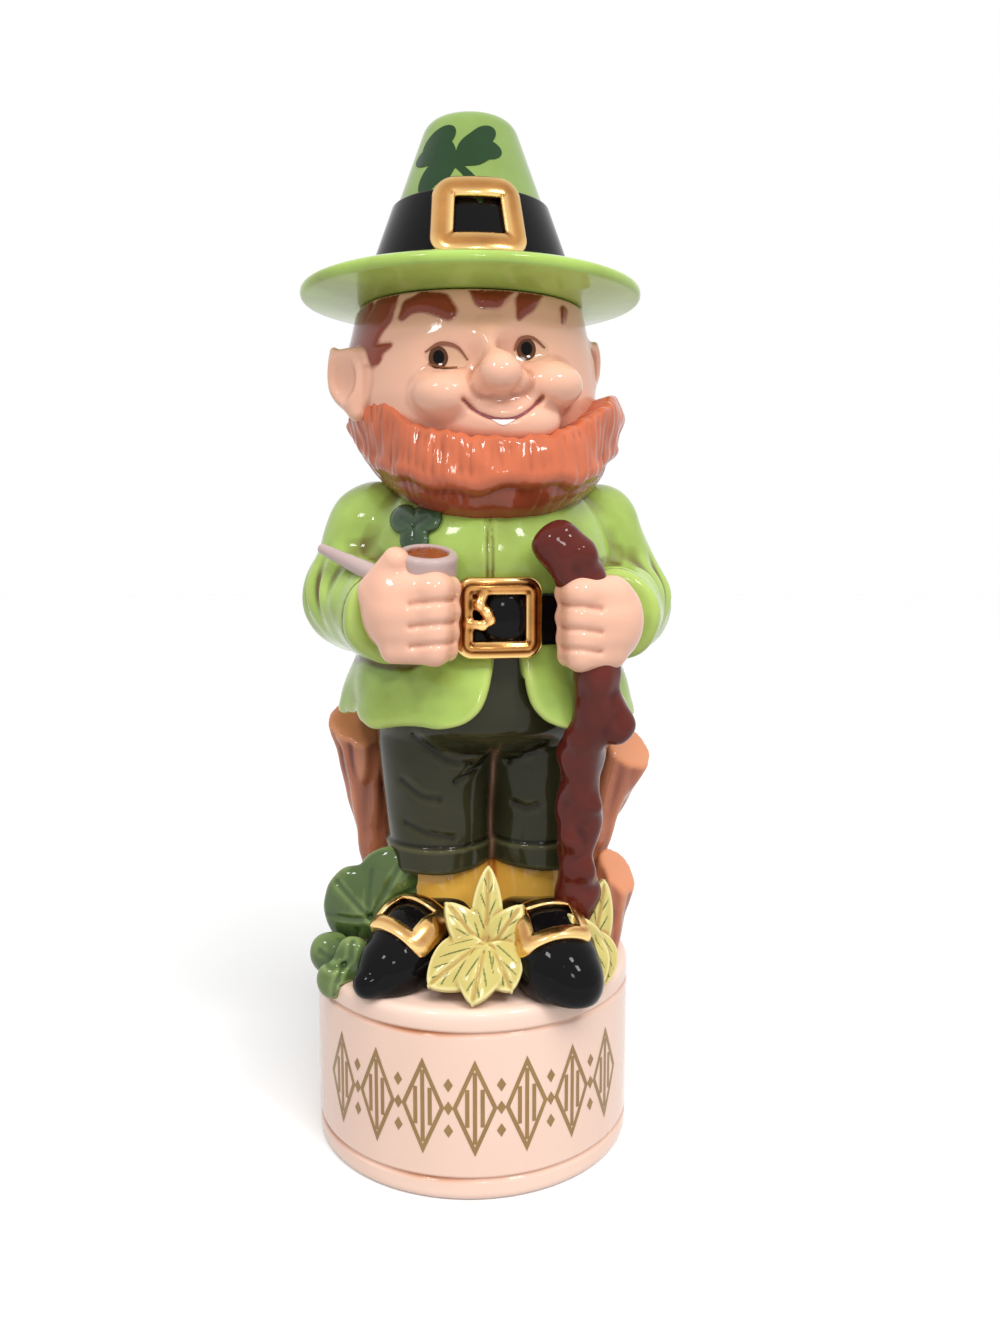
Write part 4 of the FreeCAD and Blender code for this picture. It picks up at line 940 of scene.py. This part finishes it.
STICK = [(24.4, -41.5, 181.6, 5.8), (26.6, -41.8, 177.5, 6.4), (30, -41.5, 171, 5.8), (32.5, -41, 160, 5.4),
         (34, -39.5, 147, 5.8), (35.6, -36.5, 135, 7), (31, -31, 122, 6.2), (30.5, -27, 104, 5.8),
         (30.9, -24, 80, 5.4), (31.2, -22.6, 56.5, 5.2)]
KNOBS = [(20.5, -44.5, 180, 3.2), (30.8, -46, 177.5, 2.6), (40.5, -38.5, 131, 3.4), (29, -36.8, 128, 2.8),
         (34, -31.8, 108, 2.6), (27.4, -30.8, 98, 2.4), (33, -29.6, 88, 2.4)]


def stick_field(p):
    d = joined([chain(p, STICK, 3)] + [ball(p, (x, y, z), radius) for x, y, z, radius in KNOBS], 4)
    return np.maximum(d + 0.6 * lumps(p, 13, 4) + 0.2 * lumps(p, 6, 5), ON_DRUM - p[:, 2])


carved("right_hand", right_hand_field, (-34, -54, 147), (2, -26, 184), SKIN, size=0.5, pooling_and_shade=0.45)
carved("left_hand", left_hand_field, (19, -52, 144), (51, -24, 176), SKIN, size=0.5, pooling_and_shade=0.45)
carved("pipe", pipe_field, (-48, -54, 160), (1, -12, 183), PIPE, ["pipe_bowl", "pipe_stem"], size=0.5,
       paint=tobacco_paint)
carved("walking_stick", stick_field, (12, -52, 54), (46, -16, 192), MAROON)


# Trousers and stockings

HIP_SIDE = [(20, 120), (31.5, 127), (34.5, 138), (35.5, 153)]
WRINKLES = (
    [(-24, 126), (-15, 119), (-8, 117)],
    [(-27, 112), (-22, 108), (-17, 107)],
    [(-26, 99), (-20, 96.5), (-13, 95)],
    [(-12, 112), (-5, 116), (-1, 121)],
    [(4, 117), (8, 119), (13, 123)],
    [(6, 104), (9, 103), (12, 104)],
)


def trouser_leg(q, side):
    """One leg in the figure's frame, with its turn-up."""
    x, y, z = q.T
    taper = step(z, CUFF, HEM)
    across = (x - side * (15.4 + 0.6 * taper)) / (15.4 + 2.6 * taper)
    deep = (y + 2) / (17.5 + 2.5 * taper)
    turn_up = 0.9 * step(z, 92.5, 91)
    leg = both((np.hypot(across, deep) - 1) * 15.5 - turn_up, 84.6 - 0.05 * np.abs(x) - z, 1.6)
    return np.maximum(leg, z - 150)


def trousers_field(p):
    q = figure(p)
    d = blend(trouser_leg(q, -1), trouser_leg(q, 1), 1.6)
    d = blend(d, turned(q, HIP_SIDE, 2), 6)
    for points in WRINKLES:
        d = crease(q, d, points, 1.3, 0.5)
    return d + 0.2 * lumps(p, 16, 6)


def stockings_field(p):
    q = figure(p)
    right, left = [limb(q, (side * 13, -5, 56), (side * 13.5, -3, 86), 14.2, 13.6) for side in (-1, 1)]
    return np.maximum(np.maximum(blend(right, left, 2), ON_DRUM - p[:, 2]), p[:, 2] - 90)


def crease_line(points):
    """A pale line down the front between the legs."""
    x, y, z = figure(points).T
    return 0.8 * hump(x - 0.15 * lumps(points, 20, 14), 0.9) * step(y, 0, -6) * step(z, 126, 118)


carved("trousers", trousers_field, (-36, -42, 80), (46, 44, 156), OLIVE, size=0.65, paint=crease_line)
carved("stockings", stockings_field, (-28, -24, 54), (38, 22, 92), YELLOW, size=0.9)


# Shoes and their buckles


def make_shoe(side, last, centre, ahead):
    """A shoe over (x, y, z, radius) points, and a buckle's frame on its instep, round a centre."""
    ahead = unit(ahead)
    sideways = unit(np.cross(ahead, (0, 0, 1)))
    axes = -np.array([sideways, np.cross(sideways, ahead), ahead])

    def shoe(p):
        d = both(chain(p, last, 3), p[:, 2] - 78 + 0.25 * (p[:, 1] + 24), 2)
        return both(d, ON_DRUM - p[:, 2], 1.2)

    def buckle(p):
        across, out, back = axes @ (p - centre).T
        d = frame_field(np.stack([across, shoe(p) - 0.6, back], axis=1), 8.2, 6.4, (2.2, 1.5), 1.5)
        return np.maximum(d, out - 6)

    points = np.array(last)[:, :3]
    low, high = points.min(axis=0) - 15, points.max(axis=0) + 16
    carved(f"{side}_shoe", shoe, (*low[:2], 54), (*high[:2], 90), BLACK, size=0.6)
    carved(f"{side}_shoe_buckle", buckle, centre - 13, centre + 13, GOLD_PAINTED_REFLECTIONS, size=0.4)


RIGHT_LAST = [(-11, -14, 67, 12), (-17, -25, 64.8, 11.6), (-22, -32, 61.6, 9.4), (-28, -38.6, 59, 4.4)]
LEFT_LAST = [(19, -16, 67, 12.4), (22.4, -29, 65, 12.4), (25.6, -36.6, 62.4, 11), (29.4, -41.4, 60.4, 7.6)]
make_shoe("right", RIGHT_LAST, np.array([-17.6, -28.2, 74.6]), (-0.6, -0.66, -0.45))
make_shoe("left", LEFT_LAST, np.array([22.8, -34, 75.2]), (0.22, -0.84, -0.5))


# Tree and logs


def timber(name, points, cut, seed):
    """A barked log through (x, y, z, radius) points listed downwards, its top sawn square to a direction."""
    centres, radii = np.array(points)[:, :3], np.array(points)[:, 3]
    cut = unit(cut)

    def field(p):
        grain = p * (1, 1, 0.3)
        fibres = p * (1, 1, 0.14)
        d = chain(p, points, 4) + 0.55 * lumps(grain, 9, seed) + 0.36 * lumps(fibres, 4.4, seed + 1)
        d = both(d, (p - centres[0]) @ cut, 1.2)
        return np.maximum(d * 0.9, ON_DRUM - p[:, 2])

    def sawn(p):
        return step((p - centres[0]) @ cut, -1.4, -0.5)

    margin = radii.max() + 3
    low, high = centres.min(axis=0) - margin, centres.max(axis=0) + margin
    carved(name, field, (*low[:2], 54), high, BARK, size=0.8, paint=sawn, pooling_and_shade=1.8)


RIGHT_LOG = [(-37.2, 12, 125, 8.4), (-34.8, 13, 112, 7.2), (-31.4, 13, 84, 5), (-30.6, 13, 50, 4.6)]
timber("right_log", RIGHT_LOG, (0.1, -0.6, 0.75), 11)
timber("left_log", [(48.6, 6.5, 118, 8.2), (37.4, 8, 91, 6.2), (33, 8, 50, 6.4)], (0.5, -0.5, 0.7), 13)
timber("left_stub", [(45, -3, 81, 6.6), (39, -3, 62, 6.2), (38, -3, 50, 6)], (0.6, -0.45, 0.65), 15)
timber("tree_trunk", [(1, 25, 138, 14.5), (1, 25, 50, 17)], (0, 0, 1), 17)


# Leaves

LEAF_THICKNESS = 1.6
LEAF_ARCH = 1.2
LEAF_ROUNDING = 0.5
VEIN_PITCH = 6.4
LEAST_BRUSH = 0.02


def leaf_field(root, tip, width, facing):
    """A pointed blade with a groove down its middle, its face turned towards a direction."""
    root, tip = np.array(root, float), np.array(tip, float)
    size = np.linalg.norm(tip - root)
    along = (tip - root) / size
    across = unit(np.cross(along, facing))
    out = np.cross(across, along)

    def place(p):
        """Share of the way to the tip, distances across and out of the blade, and its half width there."""
        q = p - root
        u = q @ along / size
        half = width / 2 * np.sin(math.pi * np.clip(u, 0, 1) ** 0.8) ** 0.7
        return u, q @ across, q @ out, half

    def field(p):
        u, v, w, half = place(p)
        t = np.clip(u, 0, 1)
        side = np.hypot(v, (u - t) * size) - half
        height = w - LEAF_ARCH * np.sin(math.pi * t) + 0.03 * v * v + 0.5 * hump(v, 0.7)
        flat = np.abs(height) - LEAF_THICKNESS / 2
        return (beyond(side, flat) - LEAF_ROUNDING) * 0.8

    def veins(p):
        u, v, _, half = place(p)
        lines = np.abs((u * size - 2.4 * np.abs(v) + 1.2 * np.sign(v)) % VEIN_PITCH - VEIN_PITCH / 2)
        share = np.abs(v) / np.maximum(half, 0.5)
        brush = 0.7 * step(share, 0.08, 0.25) * step(share, 0.78, 0.45)
        drawn = (brush > LEAST_BRUSH) & (u > 0.1) & (u < 0.9)
        brush = np.maximum(brush, LEAST_BRUSH)
        return step(lines, brush, 0.5 * brush) * drawn

    return field, veins


def spray(name, leaves, low, high):
    """Leaves that grow together, with veins brushed on each."""
    parts = [leaf_field(*leaf) for leaf in leaves]

    def field(p):
        d = joined([part(p) for part, _ in parts], 0.8)
        return np.maximum(d, DRUM_TOP + 0.05 - p[:, 2])

    def veins(points):
        nearest = np.argmin([part(points) for part, _ in parts], axis=0)
        marks = np.array([vein(points) for _, vein in parts])
        return marks[nearest, np.arange(len(points))]

    carved(name, field, low, high, PALE_LEAF, size=0.32, paint=veins)


FRONT = (0, -0.75, 0.65)
spray("front_leaf_spray", [
    ((4.6, -33, 66.5), (5.2, -26.5, 88.5), 8, (0, -1, 0.3)),
    ((4, -34, 66), (-6.6, -31.5, 79.5), 9, FRONT),
    ((5.6, -34, 66), (14.6, -32, 79), 8.5, FRONT),
    ((4, -36, 69.5), (-11, -42.6, 60), 14.5, FRONT),
    ((5.6, -36, 69.5), (11.6, -43.6, 59), 13, FRONT),
    ((4.4, -36.6, 69), (1, -46.6, 56.6), 12, FRONT),
], (-14, -49, 54), (20, -22, 92))
spray("side_leaf_spray", [
    ((33.5, -27, 60), (38.6, -22, 83), 9, (0.3, -1, 0.2)),
    ((36, -29, 62), (28.5, -33.5, 76.5), 9, FRONT),
    ((35, -28, 70), (38, -34, 57), 11.5, (0.5, -0.8, 0.5)),
    ((33, -30, 70), (36, -36.5, 57), 9, (0.3, -0.8, 0.5)),
], (20, -44, 54), (48, -14, 88))


CLOVER_LOBES = [
    ((-24, -12.5, 80), (10.5, 4, 10.5)),
    ((-34.4, -11.6, 72), (10.2, 4.4, 12.5)),
    ((-28, -13.5, 70), (8, 4, 9)),
    ((-41.4, -19, 60), (6.4, 4.6, 6.4)),
    ((-34, -24.6, 60), (6, 3.8, 7)),
    ((-39.4, -27.2, 55.4), (5, 3.8, 5.8)),
]
CLOVER_VEINS = (
    [(-20, 88), (-25.5, 78), (-30, 70)],
    [(-15.5, 79), (-24, 75), (-30, 70)],
    [(-29.5, 84), (-30.5, 76), (-30, 70)],
    [(-40, 80), (-34, 74), (-30, 70)],
    [(-43, 70), (-36, 69.5), (-30, 70)],
    [(-44, 62), (-40, 60), (-36.4, 60)],
    [(-34, 66), (-34.6, 62), (-36.4, 60)],
    [(-38.6, 52), (-38, 56), (-36.4, 60)],
)


def clover_field(p):
    d = joined([ellipsoid(p, centre, radii) for centre, radii in CLOVER_LOBES], 2)
    for points in CLOVER_VEINS:
        d = crease(p, d, points, 0.9, 0.4, front=8)
    drum = np.maximum(off_axis(p) - DRUM_RADIUS, p[:, 2] - DRUM_TOP)
    return np.maximum(d + 0.2 * lumps(p, 7, 23), 0.05 - drum)


carved("clover_leaves", clover_field, (-49, -34, 48), (-10, -2, 94), LEAF, size=0.6, pooling_and_shade=1)


SHAMROCK_LOBES = ((-18.2, 187.2), (-11.2, 187.6), (-14.8, 181.6))
SHAMROCK_JOINT = (-14.6, 185.4)


def shamrock_field(p):
    """Three leaves in low relief on the breast."""
    discs = [(*lobe, 4.2) for lobe in SHAMROCK_LOBES] + [(*SHAMROCK_JOINT, 2.4)]
    d = joined([np.hypot(p[:, 0] - x, p[:, 2] - z) - radius for x, z, radius in discs], 0.6)
    d = both(d, np.abs(jacket_field(p)) - 1.7, 1.6)
    for lobe in SHAMROCK_LOBES:
        d = crease(p, d, [lobe, SHAMROCK_JOINT], 0.7, 0.3)
    return np.maximum(d, p[:, 1] + 20)


carved("lapel_shamrock", shamrock_field, (-26, -44, 175), (-4, -20, 194), DARK_LEAF, size=0.5, pooling_and_shade=0.8)


# Hat and stopper

CROWN_LOW, CROWN_HIGH = 28.2, 12.2
CROWN_SLOPE = 0.94
CROWN_FOOT = BRIM_TOP - 0.5
CROWN_INSIDE = HAT_TOP - 6
BAND_LOW, BAND_HIGH = 257, 275.6
BAND_OUT = 1.3
SOCKET_RADIUS, SOCKET_TOP = 9.6, 263.0
HAT_BUCKLE_HEIGHT = 267.2
HAT_BUCKLE_SHIFT = 1.3


def crown_radius(z):
    return CROWN_LOW + (CROWN_HIGH - CROWN_LOW) * (z - BRIM_TOP) / (HAT_TOP - BRIM_TOP)


def hat_field(p):
    """The crown's side, for what is painted on it."""
    return (off_axis(p) - crown_radius(p[:, 2])) * CROWN_SLOPE


def band_field(p):
    return hat_field(p) - BAND_OUT * CROWN_SLOPE


brim_outline = [
    (SOCKET_RADIUS, HAT_UNDER), (32.5, HAT_UNDER), (49, 249.6), (49.2, 252.2), (46, 253.6), (31, 255.6),
    (CROWN_LOW, BRIM_TOP + 1), (SOCKET_RADIUS, BRIM_TOP + 1), (SOCKET_RADIUS, SOCKET_TOP),
    (SOCKET_RADIUS - 0.1, SOCKET_TOP),
]
lathe("hat_brim", round_corners(brim_outline, 1.6), GREEN, body="hat")
crown_outline = [
    (crown_radius(CROWN_FOOT), CROWN_FOOT), (CROWN_HIGH, HAT_TOP - 0.4), (NEAR_AXIS, HAT_TOP),
    (AXIS_RADIUS, HAT_TOP), (AXIS_RADIUS, CROWN_INSIDE), (CROWN_HIGH - 5, CROWN_INSIDE),
    (CROWN_LOW - 4, CROWN_FOOT),
]
lathe("hat_crown", round_corners(crown_outline, 4.6, 9), CROWN_GREEN_PAINTED_SHADE, body="hat")
band_outline = [
    (crown_radius(BAND_LOW) - 1, BAND_LOW), (crown_radius(BAND_LOW) + BAND_OUT, BAND_LOW),
    (crown_radius(BAND_HIGH) + BAND_OUT, BAND_HIGH), (crown_radius(BAND_HIGH) - 1, BAND_HIGH),
]
lathe("hat_band", round_corners(band_outline, 0.8), BLACK, body="hat")


def hat_buckle_field(p):
    x, y, z = figure(p + FIGURE_CENTRE).T
    rise = z - HAT_BUCKLE_HEIGHT
    lift = (crown_radius(z) + 1.6 - np.hypot(x, y)) * CROWN_SLOPE
    flat = np.stack([x + HAT_BUCKLE_SHIFT, lift, rise], axis=1)
    d = frame_field(flat, 9.4 - 0.09 * rise, 7.9, (3.1, 2.2), 2.2)
    return np.maximum(d, y + 5)


carved("hat_buckle", hat_buckle_field, (-14, -36, 255), (22, -14, 281), GOLD_PAINTED_REFLECTIONS, body="hat", size=0.4)

for name, centre, radii, tilt in (
    ("left_upper", (-8.2, 290.4), (5.4, 3.2), 38),
    ("left_lower", (-9.6, 286.8), (5.6, 3), 18),
    ("right_upper", (3.4, 290.6), (4.6, 2.8), 40),
    ("right_lower", (4.6, 287.2), (4.4, 2.9), -10),
    ("low_outer", (-10.6, 279.6), (5.2, 2.6), 62),
    ("low_inner", (-8.4, 280.6), (5, 2.6), 42),
):
    spot(f"hat_clover_{name}", hat_field, centre, radii, tilt, CLOVER_PAINT, "hat")
CLOVER_JOINT = (-3.8, 282.6)
CLOVER_STEM = [(-4.2, 283.2, 0.8), (-1.6, 281, 1), (1.6, 277.4, 1.3)]
CLOVER_STEM_END = [(2.2, 274.4, 1.3), (2.8, 272.6, 1.1), (3.4, 270.8, 0.4)]
for name, lobe, width in (
    ("left", (-9, 288.8), 3.8),
    ("right", (3.8, 288.6), 4.6),
    ("low", (-9.4, 280.4), 3.4),
):
    middle = [(a + b) / 2 for a, b in zip(lobe, CLOVER_JOINT)]
    blade = [(*lobe, width), (*middle, width * 0.9), (*CLOVER_JOINT, 0.8)]
    stroke(f"hat_clover_{name}", hat_field, blade, CLOVER_PAINT, "hat")
stroke("hat_clover_stem", hat_field, CLOVER_STEM, CLOVER_PAINT, "hat")
stroke("hat_clover_stem_end", band_field, CLOVER_STEM_END, CLOVER_PAINT, "hat")

for name, material in (("cork", CORK), ("mouth_ring", CREAM)):
    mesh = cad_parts[name].data
    mesh.materials.clear()
    mesh.materials.append(material)


# Stage: floor, light and camera

FLOOR_SIZE = 6
FLOOR_SEEN = 0.95
FLOOR_LIFT = 0.1
FLOOR_SCATTER = 0.55
WORLD_SCATTER = 0.4
WHITE = (1, 1, 1, 1)
WINDOW_TARGET = (0, 0, 0.15)
CAMERA_PLACE = (0.0085, -0.322, 0.1826)
CAMERA_PITCH = math.radians(83)


def maths(nodes, operation, first, second):
    node = nodes.new("ShaderNodeMath")
    node.operation = operation
    feed(node.inputs[0], first)
    feed(node.inputs[1], second)
    return node.outputs["Value"]


def seen_directly(nodes):
    """1 for what the camera, a reflection or clear glass shows, and 0 for scattered light."""
    path = add_node(nodes, "LightPath").outputs
    total = path["Is Camera Ray"]
    for ray in ("Is Glossy Ray", "Is Transmission Ray"):
        total = maths(nodes, "MAXIMUM", total, path[ray])
    return total


def floor_material():
    """White as seen, and a middling pale grey as a source of bounced light."""
    material = bpy.data.materials.new("floor_white")
    nodes = nodes_of(material)
    seen = seen_directly(nodes)
    shade = add_node(nodes, "MapRange", Value=seen, To_Min=FLOOR_SCATTER, To_Max=FLOOR_SEEN)
    lift = maths(nodes, "MULTIPLY", seen, FLOOR_LIFT)
    set_inputs(nodes["Principled BSDF"], Base_Color=shade.outputs["Result"], Emission_Strength=lift,
               Emission_Color=WHITE, Roughness=0.9, Specular_IOR_Level=0)
    return material


bpy.ops.mesh.primitive_plane_add(size=FLOOR_SIZE, location=(0, 0, 0))
floor = bpy.context.object
floor.name = "floor"
floor.data.materials.append(floor_material())
floor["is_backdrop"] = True

scene.world = bpy.data.worlds.new("studio")
nodes = nodes_of(scene.world)
scattered = nodes["Background"]
set_inputs(scattered, Color=WHITE, Strength=WORLD_SCATTER)
white = add_node(nodes, "Background", Color=WHITE)
choose = add_node(nodes, "MixShader", Fac=seen_directly(nodes))
feed(choose.inputs[1], scattered.outputs["Background"])
feed(choose.inputs[2], white.outputs["Background"])
set_inputs(nodes["World Output"], Surface=choose.outputs["Shader"])


def new_lamp(name, kind, direction, energy):
    """A lamp that shines along a direction."""
    light = bpy.data.lights.new(name, kind)
    light.energy = energy
    lamp = bpy.data.objects.new(name, light)
    level = math.hypot(direction[0], direction[1])
    lamp.rotation_euler = (math.atan2(level, -direction[2]), 0, math.atan2(-direction[0], direction[1]))
    scene.collection.objects.link(lamp)
    lamp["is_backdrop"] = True
    return lamp


# Broad daylight that makes no glint, and small bright panels for the glints
key = new_lamp("key", "SUN", (-0.2, 0.58, -1.06), 1.95)
key.data.angle = math.radians(40)
key.visible_glossy = False
for name, location, size, power in (
    ("left_window", (-0.42, -0.62, 0.8), 0.13, 1.5),
    ("right_window", (0.45, -0.6, 0.8), 0.15, 2.0),
    ("front_window", (0.1, -0.8, 0.5), 0.1, 0.6),
):
    window = new_lamp(name, "AREA", np.subtract(WINDOW_TARGET, location), power)
    window.data.size = size
    window.location = location

camera = bpy.data.cameras.new("camera")
camera.sensor_width = 36
camera.lens = 28.8
eye = bpy.data.objects.new("camera", camera)
eye.location = CAMERA_PLACE
eye.rotation_euler = (CAMERA_PITCH, 0, 0)
scene.collection.objects.link(eye)
eye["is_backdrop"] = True
scene.camera = eye
scene.view_settings.view_transform = "Standard"

boxes = {"cad": cad_box, "visual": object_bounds()}
{key: [[float(c) for c in corner] for corner in box] for key, box in boxes.items()}
